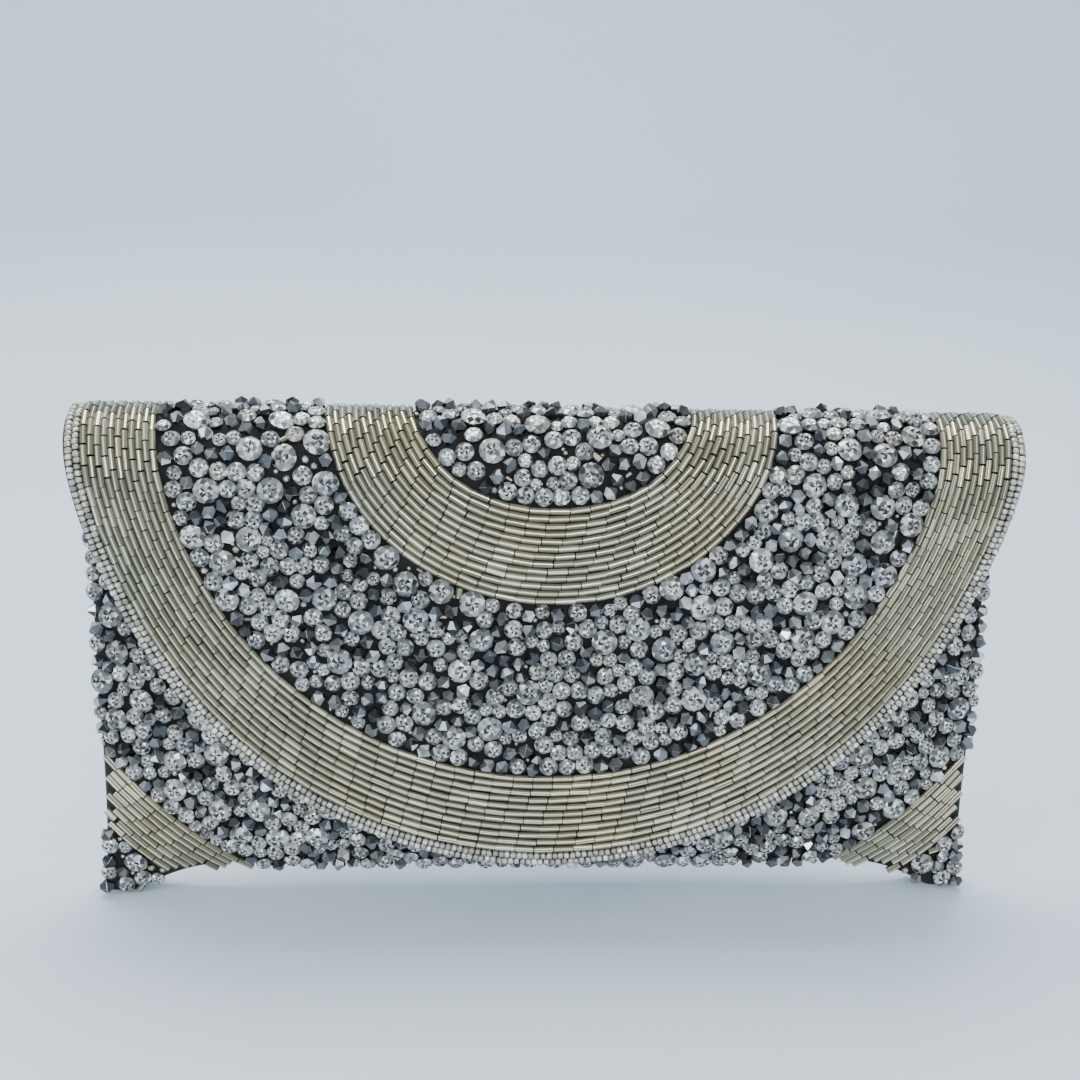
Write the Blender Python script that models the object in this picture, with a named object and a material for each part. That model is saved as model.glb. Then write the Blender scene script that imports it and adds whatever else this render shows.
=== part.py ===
"""A beaded clutch purse: a stuffed envelope pouch, a round fold over its top and a half-round flap.

X runs along the purse, Y from its front to its back and Z up. The origin is on the surface that the purse
stands on, under the middle of its outline. Lengths are in millimetres here, and become metres in the meshes.

The pouch is two swelling panels sewn together at the sides and the bottom. Each is a stack of sheets: beads
outside, then base cloth, board and lining. The back panel goes up and over as a fold, and the flap hangs from
it. The stack turns at two lines along the fold, a quarter turn each, and both lines lie just outside the beads.
The beads make the front heavier, so the purse leans back by the angle at which it balances on its corners.
"""

import math

import bmesh
import bpy
from mathutils import Matrix, Vector

MM = 0.001

# Outline of the purse
FOLD_HALF_LENGTH = 125.0
FOLD_RADIUS = 13.0  # outside of the fold's base cloth
FOLD_HEIGHT = 122.5  # of the fold's centre line
FOLD_Y = -3.17  # puts the origin midway between the front and the back
LEAN = math.tan(math.radians(6))  # how far the purse leans back, for each millimetre of height
SEAM_HALF_TOP = 123.5  # half width between the side seams at the top
SEAM_HALF_BASE = 122.0  # and at the bottom corners
SEAM_PULL = 2.5  # how far the side seams pull in between them
BASE_RISE = 9.0  # the bottom seam's middle stands this far above its corners
CORNER_START = 78.0  # the bottom seam comes down between these two half widths
CORNER_END = 114.0
FRONT_TOP = 113.5  # top edge of the front panel
FRONT_SWELL = 9.0  # how far the front panel stands out from the seam
BACK_SWELL = 14.5
SEAM_STACK = 2.5  # from the middle of the seam to the outside of each base cloth
FULLNESS = 3.2  # the higher, the flatter a panel's middle and the rounder its rim
FULL_SHARE = 0.5  # a panel has swelled to its full depth this far up
FRONT_THINNING = 2.5  # the front panel stands out less at its top, from this height on
FRONT_THINNING_Z = 65.0
BACK_THINNING_Z = 60.0
SEAM_DRIFT_Z = 50.0  # the side seams drift back above this height

# Sheets, as heights above the outside of the base cloth
GAP = 0.4
CLOTH = (-0.6, 0.0)
BOARD = (-1.9, -0.9)
WASHER = (-2.7, -2.2)
LINING = (-3.5, -3.0)
POCKET = (-4.7, -4.1)
CRYSTALS = (0.6, 3.4)
BUGLES = (0.6, 2.4)
SEEDS = (0.6, 2.0)

# Bead rings of the flap, from its middle outwards: half width, and depth below the fold's top line
RINGS = {
    "centre": (36.5, 26.0),
    "inner_band": (59.5, 51.0),
    "crystal_band": (102.0, 97.5),
    "outer_band": (121.2, 120.7),
    "edge": (125.0, 124.5),
}
RING_GAP = 0.5

# Flap
FLAP_BULGE = 6.5  # how far the flap stands out over the pouch
BULGE_LENGTH = 75.0
SIDE_FALL = 2.5  # the bulge falls off to the sides by this power of the half width
SIDE_CURL = 2.0
CURL_LENGTH = 40.0

# Beadwork of the front panel
FRONT_RING_HALF = 106.0  # the crystals start under the flap's edge
CORNER_CENTRE = (63.5, 212.0)  # the bands across the corners are arcs about this point, past the middle
CORNER_BAND = (249.3, 265.0)

# Hinge lines on the fold
HINGE_ANGLE = math.radians(45)
HINGE_RADIUS = FOLD_RADIUS + 3.6
HINGE_CLEARANCE = math.radians(1.3)

# Fittings
SNAP_Z = 56.0
SNAP_GAP = 0.4
SOCKET_RADIUS = 8.0
SOCKET_DEPTH = 1.6
SOCKET_RECESS = 3.4  # radius of the hollow in its middle
SOCKET_FLOOR = 0.6
STUD_RADIUS = 7.0
STUD_BOSS = 2.5  # radius of the boss that goes into the hollow
STUD_BOSS_HEIGHT = 0.8
SNAP_EDGE = 0.35  # bevel round the snap's faces
SNAP_SIDES = 20
WASHER_RADIUS = 9.0
POCKET_HALF_WIDTH = 48.0
POCKET_BOTTOM = 38.0
POCKET_TOP = 88.0
TAPE_WIDTH = 5.5
TAPE_HALF_THICKNESS = 0.25
LINING_INSET = 12.0
BINDING_DEPTH = 6.0
BINDING_THICKNESS = 0.6
BINDING_INSET = 9.0
TAPE_TOP_GAP = 2.0

HALVINGS = 40  # enough to find an outline's edge to well under a micrometre
ARC_STEPS = 3600

QUARTER_LENGTH = FOLD_RADIUS * math.pi / 2
HINGE_LENGTH = FOLD_RADIUS * HINGE_ANGLE
HINGE_CUT = FOLD_RADIUS * HINGE_CLEARANCE
FLAP_START = HINGE_LENGTH + HINGE_CUT

FINISHES = {
    "crystal": ((0.62, 0.62, 0.64), 0.15, 0.5),
    "bugle_bead": ((0.60, 0.56, 0.47), 0.25, 0.5),
    "seed_bead": ((0.72, 0.71, 0.68), 0.25, 0.6),
    "black_cloth": ((0.02, 0.02, 0.022), 0.8, 0.0),
    "back_satin": ((0.16, 0.16, 0.17), 0.45, 0.0),
    "board": ((0.55, 0.53, 0.48), 0.9, 0.0),
    "lining_satin": ((0.30, 0.30, 0.31), 0.5, 0.0),
    "snap_metal": ((0.66, 0.66, 0.68), 0.25, 1.0),
}


def lerp(low, high, part):
    return low + (high - low) * part


def smooth(part):
    part = min(max(part, 0.0), 1.0)
    return part * part * (3 - 2 * part)


def spaced(low, high, steps):
    return [lerp(low, high, step / steps) for step in range(steps + 1)]


# Surfaces of the pouch


def seam_half(z):
    """Half width between the side seams at a height."""
    up = min(max(z / FOLD_HEIGHT, 0.0), 1.0)
    return lerp(SEAM_HALF_BASE, SEAM_HALF_TOP, up) - SEAM_PULL * math.sin(math.pi * up**0.6)


def base_z(x):
    """Height of the bottom seam, which comes down to the two corners."""
    part = min(max((abs(x) - CORNER_START) / (CORNER_END - CORNER_START), 0.0), 1.0)
    return BASE_RISE * (1 - part**3)


def across(x, z):
    """1 along the middle of a panel and 0 at its side seams."""
    return 1 - min(abs(x) / seam_half(z), 1.0) ** FULLNESS


def swell(x, z, top):
    """How far a panel has swelled out of its bottom seam, from 0 to 1."""
    up = min(max((z - base_z(x)) / (top - base_z(x)), 0.0), 1.0)
    return 1 - (1 - min(up / FULL_SHARE, 1.0)) ** FULLNESS


def seam_y(z):
    """The side seams drift back to meet the fold's back edge at the top."""
    return (FOLD_RADIUS - SEAM_STACK) * smooth((z - SEAM_DRIFT_Z) / (FOLD_HEIGHT - SEAM_DRIFT_Z))


def front_point(x, z, height):
    """A point of the front panel, at a height above the outside of its base cloth."""
    middle = across(x, z)
    depth = FRONT_SWELL - FRONT_THINNING * smooth((z - FRONT_THINNING_Z) / (FRONT_TOP - FRONT_THINNING_Z))
    y = seam_y(z) * (1 - middle) - SEAM_STACK - depth * middle * swell(x, z, FRONT_TOP)
    return x, y - height, z


def back_point(x, z, height):
    middle = across(x, z)
    thinning = smooth((z - BACK_THINNING_Z) / (FOLD_HEIGHT - BACK_THINNING_Z))
    depth = lerp(BACK_SWELL, FOLD_RADIUS - SEAM_STACK, thinning)
    y = seam_y(z) * (1 - middle) + SEAM_STACK + depth * middle * swell(x, z, FOLD_HEIGHT)
    return x, y + height, z


def fold_point(x, length, height):
    """A point of the fold or the flap.

    The length runs along the base cloth from the fold's top line, and is positive towards the flap's edge.
    """
    angle = min(max(length / FOLD_RADIUS, -math.pi / 2), math.pi / 2)
    drop = max(length - QUARTER_LENGTH, 0.0)
    side = abs(x) / FOLD_HALF_LENGTH
    bulge = FLAP_BULGE * (1 - (1 - min(drop / BULGE_LENGTH, 1.0)) ** 2) * (1 - side**SIDE_FALL)
    curl = SIDE_CURL * side**3 * smooth(drop / CURL_LENGTH)
    y = -(FOLD_RADIUS + height) * math.sin(angle) - bulge + curl
    z = FOLD_HEIGHT + (FOLD_RADIUS + height) * math.cos(angle) - drop
    return x, y, z


# Making solids


def finish(name):
    if name in bpy.data.materials:
        return bpy.data.materials[name]
    material = bpy.data.materials.new(name)
    material.use_nodes = True
    shader = material.node_tree.nodes["Principled BSDF"]
    colour, roughness, metallic = FINISHES[name]
    shader.inputs["Base Color"].default_value = (*colour, 1.0)
    shader.inputs["Roughness"].default_value = roughness
    shader.inputs["Metallic"].default_value = metallic
    return material


def place(point):
    """Millimetres about the fold's plane to metres about the origin."""
    x, y, z = point
    return Vector((x, y + FOLD_Y + LEAN * z, z)) * MM


def add_object(name, shape, material, parent=None):
    bmesh.ops.recalc_face_normals(shape, faces=shape.faces)
    mesh = bpy.data.meshes.new(name)
    shape.to_mesh(mesh)
    shape.free()
    mesh.shade_smooth()
    mesh.set_sharp_from_angle(angle=math.radians(40))
    mesh.materials.append(finish(material))
    thing = bpy.data.objects.new(name, mesh)
    bpy.context.scene.collection.objects.link(thing)
    if parent is not None:
        thing.parent = parent
        thing.matrix_parent_inverse = Matrix.Translation(parent.location).inverted()
    return thing


def sheet(name, surface, rows, heights, material, parent=None):
    """A closed sheet: a grid of surface coordinates, raised from one height of the surface to another."""
    shape = bmesh.new()
    first = shape.verts.layers.float.new("first")
    second = shape.verts.layers.float.new("second")
    grid = []
    for row in rows:
        corners = []
        for pair in row:
            corner = shape.verts.new(place(surface(*pair, heights[0])))
            corner[first], corner[second] = pair
            corners.append(corner)
        grid.append(corners)
    faces = []
    for near, far in zip(grid, grid[1:]):
        for column in range(len(near) - 1):
            faces.append(shape.faces.new((near[column], near[column + 1], far[column + 1], far[column])))
    raised = bmesh.ops.extrude_face_region(shape, geom=faces, use_keep_orig=True)["geom"]
    for corner in raised:
        if isinstance(corner, bmesh.types.BMVert):
            corner.co = place(surface(corner[first], corner[second], heights[1]))
    return add_object(name, shape, material, parent)


def strip(name, sections, material, parent=None):
    """A closed bar that joins a row of cross-sections, each a ring of points."""
    shape = bmesh.new()
    rings = [[shape.verts.new(place(point)) for point in section] for section in sections]
    for near, far in zip(rings, rings[1:]):
        for index in range(len(near)):
            following = (index + 1) % len(near)
            shape.faces.new((near[index], near[following], far[following], far[index]))
    shape.faces.new(rings[0])
    shape.faces.new(rings[-1])
    bmesh.ops.triangulate(shape, faces=[face for face in shape.faces if len(face.verts) > 4])
    return add_object(name, shape, material, parent)


def turned(name, profile, centre, facing, material, parent=None):
    """A solid turned about an axis square to the leaning panels.

    The profile is a list of radius and distance along the axis.
    """
    shape = bmesh.new()
    points = [shape.verts.new((radius * MM, distance * facing * MM, 0)) for radius, distance in profile]
    edges = [shape.edges.new(pair) for pair in zip(points, points[1:])]
    bmesh.ops.spin(
        shape,
        geom=points + edges,
        cent=(0, 0, 0),
        axis=(0, 1, 0),
        angle=2 * math.pi,
        steps=SNAP_SIDES,
        use_merge=True,
    )
    bmesh.ops.remove_doubles(shape, verts=shape.verts, dist=0.00001)
    lean = Matrix.Rotation(-math.atan(LEAN), 3, "X")
    bmesh.ops.rotate(shape, verts=shape.verts, cent=(0, 0, 0), matrix=lean)
    bmesh.ops.translate(shape, verts=shape.verts, vec=place(centre))
    return add_object(name, shape, material, parent)


# Grids of surface coordinates


def panel_rows(z_low, z_high, inset, heights):
    """Rows of x, z over a panel between its seams. The heights run from 0 at the bottom seam to 1."""
    sides = [-1, -0.95, -0.9, -0.84, -0.77, -0.68, -0.56, -0.42, -0.28, -0.14, 0]
    sides += [-side for side in reversed(sides[:-1])]
    rows = []
    for up in heights:
        row = []
        for side in sides:
            bottom = base_z(side * SEAM_HALF_BASE) + z_low
            z = lerp(bottom, z_high, up)
            row.append((side * (seam_half(z) - inset), z))
        rows.append(row)
    return rows


def flap_lengths():
    """Where the rows of a flap's sheet lie on the round of the fold."""
    return spaced(FLAP_START, QUARTER_LENGTH, 3)


def half_disc_rows(half_width, depth, columns, steps):
    """Rows of x, length over a half disc that hangs from the front hinge line."""
    start = math.asin(QUARTER_LENGTH / depth)
    turns = [math.asin(length / depth) for length in flap_lengths()]
    turns += spaced(start, math.radians(81), steps)[1:]
    rows = []
    for turn in turns:
        half = half_width * math.cos(turn)
        rows.append([(side * half, depth * math.sin(turn)) for side in spaced(-1, 1, columns)])
    return rows


def half_ring_rows(inner, outer, columns, steps):
    """Rows of x, length over a half ring between two rings of the flap."""
    low = (inner[0] + RING_GAP / 2, inner[1] + RING_GAP / 2)
    high = (outer[0] - RING_GAP / 2, outer[1] - RING_GAP / 2)
    rings = [(lerp(low[0], high[0], part), lerp(low[1], high[1], part)) for part in spaced(0, 1, columns)]
    starts = [[math.asin(length / depth) for length in flap_lengths()] for _, depth in rings]
    rows = []
    for index in range(len(starts[0]) - 1):
        rows.append([(-half * math.cos(turn[index]), depth * math.sin(turn[index]))
                     for (half, depth), turn in zip(rings, starts)])
    for part in spaced(0, 1, steps):
        row = []
        for (half, depth), turn in zip(rings, starts):
            angle = lerp(turn[-1], math.pi - turn[-1], part)
            row.append((-half * math.cos(angle), depth * math.sin(angle)))
        rows.append(row)
    for index in reversed(range(len(starts[0]) - 1)):
        rows.append([(half * math.cos(turn[index]), depth * math.sin(turn[index]))
                     for (half, depth), turn in zip(rings, starts)])
    return rows


def ring_half(ring, length):
    """Half width of a bead ring at a length from the fold's top line. Behind that line it runs straight."""
    half, depth = ring
    return half * math.sqrt(1 - (max(length, 0.0) / depth) ** 2)


def fold_rows(side, inner, outer, columns):
    """Rows of x, length over the stretch of a bead ring that crosses the fold, on one side."""
    rows = []
    for length in spaced(-HINGE_LENGTH + HINGE_CUT, HINGE_LENGTH - HINGE_CUT, 6):
        low = ring_half(inner, length) + RING_GAP / 2
        high = ring_half(outer, length) - RING_GAP / 2
        rows.append([(side * lerp(low, high, part), length) for part in spaced(0, 1, columns)])
    return rows


def fold_full_rows(ring, columns):
    rows = []
    for length in spaced(-HINGE_LENGTH + HINGE_CUT, HINGE_LENGTH - HINGE_CUT, 6):
        half = ring_half(ring, length)
        rows.append([(lerp(-half, half, part), length) for part in spaced(0, 1, columns)])
    return rows


# Regions of the front panel


def on_panel(x, z):
    return abs(x) <= seam_half(z) and base_z(x) <= z <= FRONT_TOP


def corner_radius(x, z):
    """Distance from the centre of the nearer corner's band."""
    return math.hypot(abs(x) + CORNER_CENTRE[0], z - CORNER_CENTRE[1])


def corner_point(radius, angle):
    """x and z on an arc across the right corner."""
    return radius * math.cos(angle) - CORNER_CENTRE[0], CORNER_CENTRE[1] - radius * math.sin(angle)


def farthest(start, step, inside):
    """The farthest point from the start along a direction that is still inside."""
    low, high = 0.0, 2 * FOLD_HALF_LENGTH
    for _ in range(HALVINGS):
        middle = (low + high) / 2
        if inside(start[0] + step[0] * middle, start[1] + step[1] * middle):
            low = middle
        else:
            high = middle
    return start[0] + step[0] * low, start[1] + step[1] * low


def front_crystal_rows():
    """From under the flap's edge out to the seams and to the bands across the corners."""
    ring_z = FOLD_HEIGHT + QUARTER_LENGTH
    top = FRONT_TOP - BINDING_DEPTH - RING_GAP
    band = CORNER_BAND[0] - RING_GAP

    def inside(x, z):
        return on_panel(x, z) and z <= top and corner_radius(x, z) <= band

    start = math.asin((ring_z - top + RING_GAP) / FRONT_RING_HALF)
    rows = []
    for turn in spaced(start, math.pi - start, 44):
        near = (-FRONT_RING_HALF * math.cos(turn), ring_z - FRONT_RING_HALF * math.sin(turn))
        spread = (turn - start) / (math.pi - 2 * start)
        aim = (-math.cos(math.pi * spread), -math.sin(math.pi * spread))
        far = farthest(near, aim, inside)
        parts = [1 - (1 - part) ** 1.5 for part in spaced(0, 1, 8)]
        rows.append([(lerp(near[0], far[0], part), lerp(near[1], far[1], part)) for part in parts])
    return rows


def corner_angles(radius):
    """Where an arc across a corner meets the side seam and the bottom seam."""
    angles = [angle for angle in spaced(0, math.pi / 2, ARC_STEPS) if on_panel(*corner_point(radius, angle))]
    return angles[0], angles[-1]


def corner_band_rows(side):
    rows = []
    for radius in spaced(CORNER_BAND[0] + RING_GAP / 2, CORNER_BAND[1] - RING_GAP / 2, 2):
        first, last = corner_angles(radius)
        points = [corner_point(radius, angle) for angle in spaced(first, last, 9)]
        rows.append([(side * x, z) for x, z in points])
    return rows


def corner_tip_rows(side):
    """From the corner's band out to the side seam, and then to the bottom seam."""
    radius = CORNER_BAND[1] + RING_GAP / 2
    first, last = corner_angles(radius)
    side_z = corner_point(radius, first)[1]
    base_x = corner_point(radius, last)[0]
    rows = []
    for part in spaced(0.06, 0.94, 8):
        near = corner_point(radius, lerp(first, last, part))
        if part < 0.5:
            z = lerp(side_z, 0.0, part / 0.5)
            far = (seam_half(z), z)
        else:
            x = lerp(SEAM_HALF_BASE, base_x, (part - 0.5) / 0.5)
            far = (x, base_z(x))
        points = [(lerp(near[0], far[0], out), lerp(near[1], far[1], out)) for out in spaced(0, 1, 3)]
        rows.append([(side * x, z) for x, z in points])
    return rows


# Pieces of the pouch


def make_front_panel():
    rise = [0, 0.04, 0.09, 0.15, 0.22, 0.31, 0.42, 0.56, 0.7, 0.85, 1]
    rows = panel_rows(0.0, FRONT_TOP, 0.0, rise)
    sheet("front_cloth", front_point, rows, CLOTH, "black_cloth")
    sheet("front_board", front_point, rows, BOARD, "board")
    lining_rows = panel_rows(LINING_INSET, FRONT_TOP, LINING_INSET, rise)
    sheet("front_lining", front_point, lining_rows, LINING, "lining_satin")


def back_surface(x, up, height):
    """The back panel: up to the fold's centre line by height, and beyond it by angle round the fold."""
    if up <= FOLD_HEIGHT:
        return back_point(x, up, height)
    angle = -math.pi / 2 + (up - FOLD_HEIGHT) / FOLD_RADIUS
    return fold_point(x, angle * FOLD_RADIUS, height)


def make_back_panel():
    rise = [0, 0.04, 0.09, 0.15, 0.22, 0.31, 0.42, 0.56, 0.7, 0.85, 1]
    end = QUARTER_LENGTH - HINGE_LENGTH - HINGE_CUT
    round_lengths = spaced(0.0, end, 3)[1:]
    for name, heights, inset, material in (
        ("back_cloth", CLOTH, 0.0, "back_satin"),
        ("back_board", BOARD, 0.0, "board"),
        ("back_lining", LINING, LINING_INSET, "lining_satin"),
    ):
        rows = panel_rows(inset, FOLD_HEIGHT, inset, rise)
        top = rows[-1]
        rows += [[(x, FOLD_HEIGHT + length) for x, _ in top] for length in round_lengths]
        sheet(name, back_surface, rows, heights, material)


def make_slip_pocket():
    rows = [[(x, z) for x in spaced(-POCKET_HALF_WIDTH, POCKET_HALF_WIDTH, 8)]
            for z in spaced(POCKET_BOTTOM, POCKET_TOP, 5)]
    sheet("slip_pocket", back_point, rows, POCKET, "lining_satin")


def make_seam_tape():
    """Runs down one side seam, along the bottom and up the other side, between the two boards."""
    outline = []
    for z in spaced(FRONT_TOP - TAPE_TOP_GAP, 0.0, 12):
        half = seam_half(z)
        outline.append(((-half, z), (-half + TAPE_WIDTH, max(z, TAPE_WIDTH))))
    half = SEAM_HALF_BASE
    for x in spaced(-half, half, 34)[1:-1]:
        inner = min(max(x, TAPE_WIDTH - half), half - TAPE_WIDTH)
        outline.append(((x, base_z(x)), (inner, base_z(inner) + TAPE_WIDTH)))
    outline += [((-outer[0], outer[1]), (-inner[0], inner[1])) for outer, inner in reversed(outline[:13])]

    def seam_point(x, z, height):
        return x, seam_y(z) * (1 - across(x, z)) + height, z

    rows = [[outer, ((outer[0] + inner[0]) / 2, (outer[1] + inner[1]) / 2), inner] for outer, inner in outline]
    sheet("seam_tape", seam_point, rows, (-TAPE_HALF_THICKNESS, TAPE_HALF_THICKNESS), "black_cloth")


def make_mouth_binding():
    """A folded strip over the top edge of the front panel's cloth, board and lining."""
    low = FRONT_TOP - BINDING_DEPTH
    outside = GAP
    inside = LINING[0] - GAP
    top = FRONT_TOP + GAP
    thick = BINDING_THICKNESS
    profile = [
        (outside, low), (outside + thick, low), (outside + thick, top + thick), (inside - thick, top + thick),
        (inside - thick, low), (inside, low), (inside, top), (outside, top),
    ]
    half = seam_half(FRONT_TOP) - BINDING_INSET
    sections = []
    for x in spaced(-half, half, 26):
        section = []
        for height, z in profile:
            y = front_point(x, min(z, FRONT_TOP), height)[1]
            section.append((x, y, z))
        sections.append(section)
    strip("mouth_binding", sections, "black_cloth")


def make_front_beads():
    sheet("front_crystals", front_point, front_crystal_rows(), CRYSTALS, "crystal")
    for side, word in ((-1, "left"), (1, "right")):
        sheet(f"corner_bugles_{word}", front_point, corner_band_rows(side), BUGLES, "bugle_bead")
        sheet(f"corner_crystals_{word}", front_point, corner_tip_rows(side), CRYSTALS, "crystal")


# Pieces of the fold


def make_fold(parent):
    edge = RINGS["edge"]
    sheet("fold_cloth", fold_point, fold_full_rows(edge, 8), CLOTH, "black_cloth", parent)
    sheet("fold_board", fold_point, fold_full_rows(edge, 8), BOARD, "board", parent)
    sheet("fold_lining", fold_point, fold_full_rows(edge, 8), LINING, "lining_satin", parent)
    centre = RINGS["centre"]
    inner_centre = (centre[0] - RING_GAP / 2, centre[1])
    sheet("fold_centre_crystals", fold_point, fold_full_rows(inner_centre, 4), CRYSTALS, "crystal", parent)
    bands = (
        ("inner_bugles", "centre", "inner_band", BUGLES, "bugle_bead"),
        ("crystals", "inner_band", "crystal_band", CRYSTALS, "crystal"),
        ("outer_bugles", "crystal_band", "outer_band", BUGLES, "bugle_bead"),
        ("seed_edge", "outer_band", "edge", SEEDS, "seed_bead"),
    )
    for name, inner, outer, heights, material in bands:
        for side, word in ((-1, "left"), (1, "right")):
            rows = fold_rows(side, RINGS[inner], RINGS[outer], 2)
            sheet(f"fold_{name}_{word}", fold_point, rows, heights, material, parent)


# Pieces of the flap


def make_flap(parent):
    half, depth = RINGS["edge"]
    rows = half_disc_rows(half, depth, 14, 9)
    sheet("flap_cloth", fold_point, rows, CLOTH, "black_cloth", parent)
    sheet("flap_board", fold_point, rows, BOARD, "board", parent)
    sheet("flap_lining", fold_point, rows, LINING, "lining_satin", parent)
    half, depth = RINGS["centre"]
    rows = half_disc_rows(half - RING_GAP / 2, depth - RING_GAP / 2, 6, 4)
    sheet("flap_centre_crystals", fold_point, rows, CRYSTALS, "crystal", parent)
    bands = (
        ("flap_inner_bugles", "centre", "inner_band", BUGLES, "bugle_bead", 16, 3),
        ("flap_crystals", "inner_band", "crystal_band", CRYSTALS, "crystal", 22, 4),
        ("flap_outer_bugles", "crystal_band", "outer_band", BUGLES, "bugle_bead", 26, 2),
        ("flap_seed_edge", "outer_band", "edge", SEEDS, "seed_bead", 28, 1),
    )
    for name, inner, outer, heights, material, steps, columns in bands:
        rows = half_ring_rows(RINGS[inner], RINGS[outer], columns, steps)
        sheet(name, fold_point, rows, heights, material, parent)


# Magnetic snap


def make_snap(parent):
    front_y = front_point(0.0, SNAP_Z, 0.0)[1]
    socket_y = front_y - GAP
    socket = [
        (0, 0), (SOCKET_RADIUS, 0), (SOCKET_RADIUS, SOCKET_DEPTH - SNAP_EDGE),
        (SOCKET_RADIUS - SNAP_EDGE, SOCKET_DEPTH), (SOCKET_RECESS, SOCKET_DEPTH),
        (SOCKET_RECESS, SOCKET_FLOOR), (0, SOCKET_FLOOR),
    ]
    turned("snap_socket", socket, (0, socket_y, SNAP_Z), -1, "snap_metal")
    front_washer = front_point(0.0, SNAP_Z, WASHER[1])[1]
    plate = [(0, 0), (WASHER_RADIUS, 0), (WASHER_RADIUS, WASHER[1] - WASHER[0]), (0, WASHER[1] - WASHER[0])]
    turned("snap_socket_washer", plate, (0, front_washer, SNAP_Z), 1, "snap_metal")

    length = FOLD_HEIGHT + QUARTER_LENGTH - SNAP_Z
    lining_y = fold_point(0.0, length, LINING[0])[1]
    face = socket_y - SOCKET_DEPTH - SNAP_GAP
    reach = face - lining_y - GAP
    tip = reach + STUD_BOSS_HEIGHT
    stud = [
        (0, 0), (STUD_RADIUS, 0), (STUD_RADIUS, reach - SNAP_EDGE), (STUD_RADIUS - SNAP_EDGE, reach),
        (STUD_BOSS, reach), (STUD_BOSS, tip), (0, tip),
    ]
    turned("snap_stud", stud, (0, lining_y + GAP, SNAP_Z), 1, "snap_metal", parent)
    washer_y = fold_point(0.0, length, WASHER[0])[1]
    turned("snap_stud_washer", plate, (0, washer_y, SNAP_Z), -1, "snap_metal", parent)


def hinge_empty(name, side):
    """An empty on one of the fold's two turning lines: side -1 is the back one and 1 the front one."""
    axis = bpy.data.objects.new(name, None)
    y = -side * HINGE_RADIUS * math.sin(HINGE_ANGLE)
    z = FOLD_HEIGHT + HINGE_RADIUS * math.cos(HINGE_ANGLE)
    axis.location = place((0, y, z))
    bpy.context.scene.collection.objects.link(axis)
    return axis


def main():
    for leftover in list(bpy.data.objects):
        bpy.data.objects.remove(leftover, do_unlink=True)
    back_axis = hinge_empty("back_turning_line", -1)
    front_axis = hinge_empty("front_turning_line", 1)
    make_front_panel()
    make_back_panel()
    make_slip_pocket()
    make_seam_tape()
    make_mouth_binding()
    make_front_beads()
    make_fold(back_axis)
    make_flap(front_axis)
    make_snap(front_axis)


main()
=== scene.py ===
"""Looks of the beaded clutch purse: beads sewn one by one over cloth, satin back, lining, snap and stage.

Lengths are in millimetres in the surface functions and the bead patterns, and in metres in the meshes.
"""
import math

import bpy
import numpy as np
from mathutils import Matrix, Vector, noise


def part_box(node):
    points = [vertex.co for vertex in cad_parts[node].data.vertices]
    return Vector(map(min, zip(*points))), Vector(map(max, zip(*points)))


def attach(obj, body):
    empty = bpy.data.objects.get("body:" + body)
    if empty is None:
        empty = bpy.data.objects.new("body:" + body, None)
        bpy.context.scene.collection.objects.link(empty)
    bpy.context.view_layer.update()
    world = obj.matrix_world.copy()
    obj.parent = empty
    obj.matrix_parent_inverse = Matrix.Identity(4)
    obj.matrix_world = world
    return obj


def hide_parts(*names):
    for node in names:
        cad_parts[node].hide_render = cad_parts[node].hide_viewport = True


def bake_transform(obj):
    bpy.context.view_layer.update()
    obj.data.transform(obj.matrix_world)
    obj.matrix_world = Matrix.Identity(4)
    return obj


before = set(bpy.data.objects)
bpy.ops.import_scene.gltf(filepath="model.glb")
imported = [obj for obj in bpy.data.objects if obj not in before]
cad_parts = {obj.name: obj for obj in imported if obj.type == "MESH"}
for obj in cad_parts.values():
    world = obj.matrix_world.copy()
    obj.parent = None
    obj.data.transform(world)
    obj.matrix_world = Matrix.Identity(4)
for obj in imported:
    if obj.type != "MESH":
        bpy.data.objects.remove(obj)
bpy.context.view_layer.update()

MM = 0.001


def box_mm(node):
    low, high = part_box(node)
    return np.array(low) / MM, np.array(high) / MM


# Surfaces that the CAD pieces follow

FOLD_HALF_LENGTH = box_mm("fold_cloth")[1][0]
FOLD_RADIUS = 13.0
FOLD_HEIGHT = 122.5
FOLD_Y = -3.17
LEAN = math.tan(math.radians(6))
SEAM_HALF_TOP = 123.5
SEAM_HALF_BASE = 122.0
SEAM_PULL = 2.5
SEAM_BEND_START = 50.0
CROWN_POWER = 3.2
BASE_RISE = 9.0
CORNER_START = 78.0
CORNER_END = 114.0
FRONT_TOP = box_mm("front_cloth")[1][2]
FRONT_SWELL = 9.0
FRONT_EASE = 2.5
FRONT_EASE_START = 65.0
BACK_SWELL = 14.5
BACK_EASE_START = 60.0
SEAM_STACK = 2.5
FLAP_BULGE = 6.5
BULGE_LENGTH = 75.0
SIDE_CURL = 2.0
CURL_LENGTH = 40.0
QUARTER_LENGTH = FOLD_RADIUS * math.pi / 2
HINGE_LENGTH = FOLD_RADIUS * math.radians(45)
REAR_BEND = ("pouch", "fold", -HINGE_LENGTH)
FRONT_BEND = ("fold", "flap", HINGE_LENGTH)
BEND_REACH = 3.2
RING_GAP = 0.5
SEED_BAND = 3.8
FRONT_RING_HALF = 106.0
CORNER_CENTRE = (63.5, 212.0)
CORNER_BAND = (249.3, 265.0)
CORNER_ROWS = 8
BASE_OVERHANG = 1.4
SIDE_OVERHANG = 1.6
TIP_CLEARANCE = 0.9


def smooth(part):
    part = np.clip(part, 0.0, 1.0)
    return part * part * (3 - 2 * part)


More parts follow.
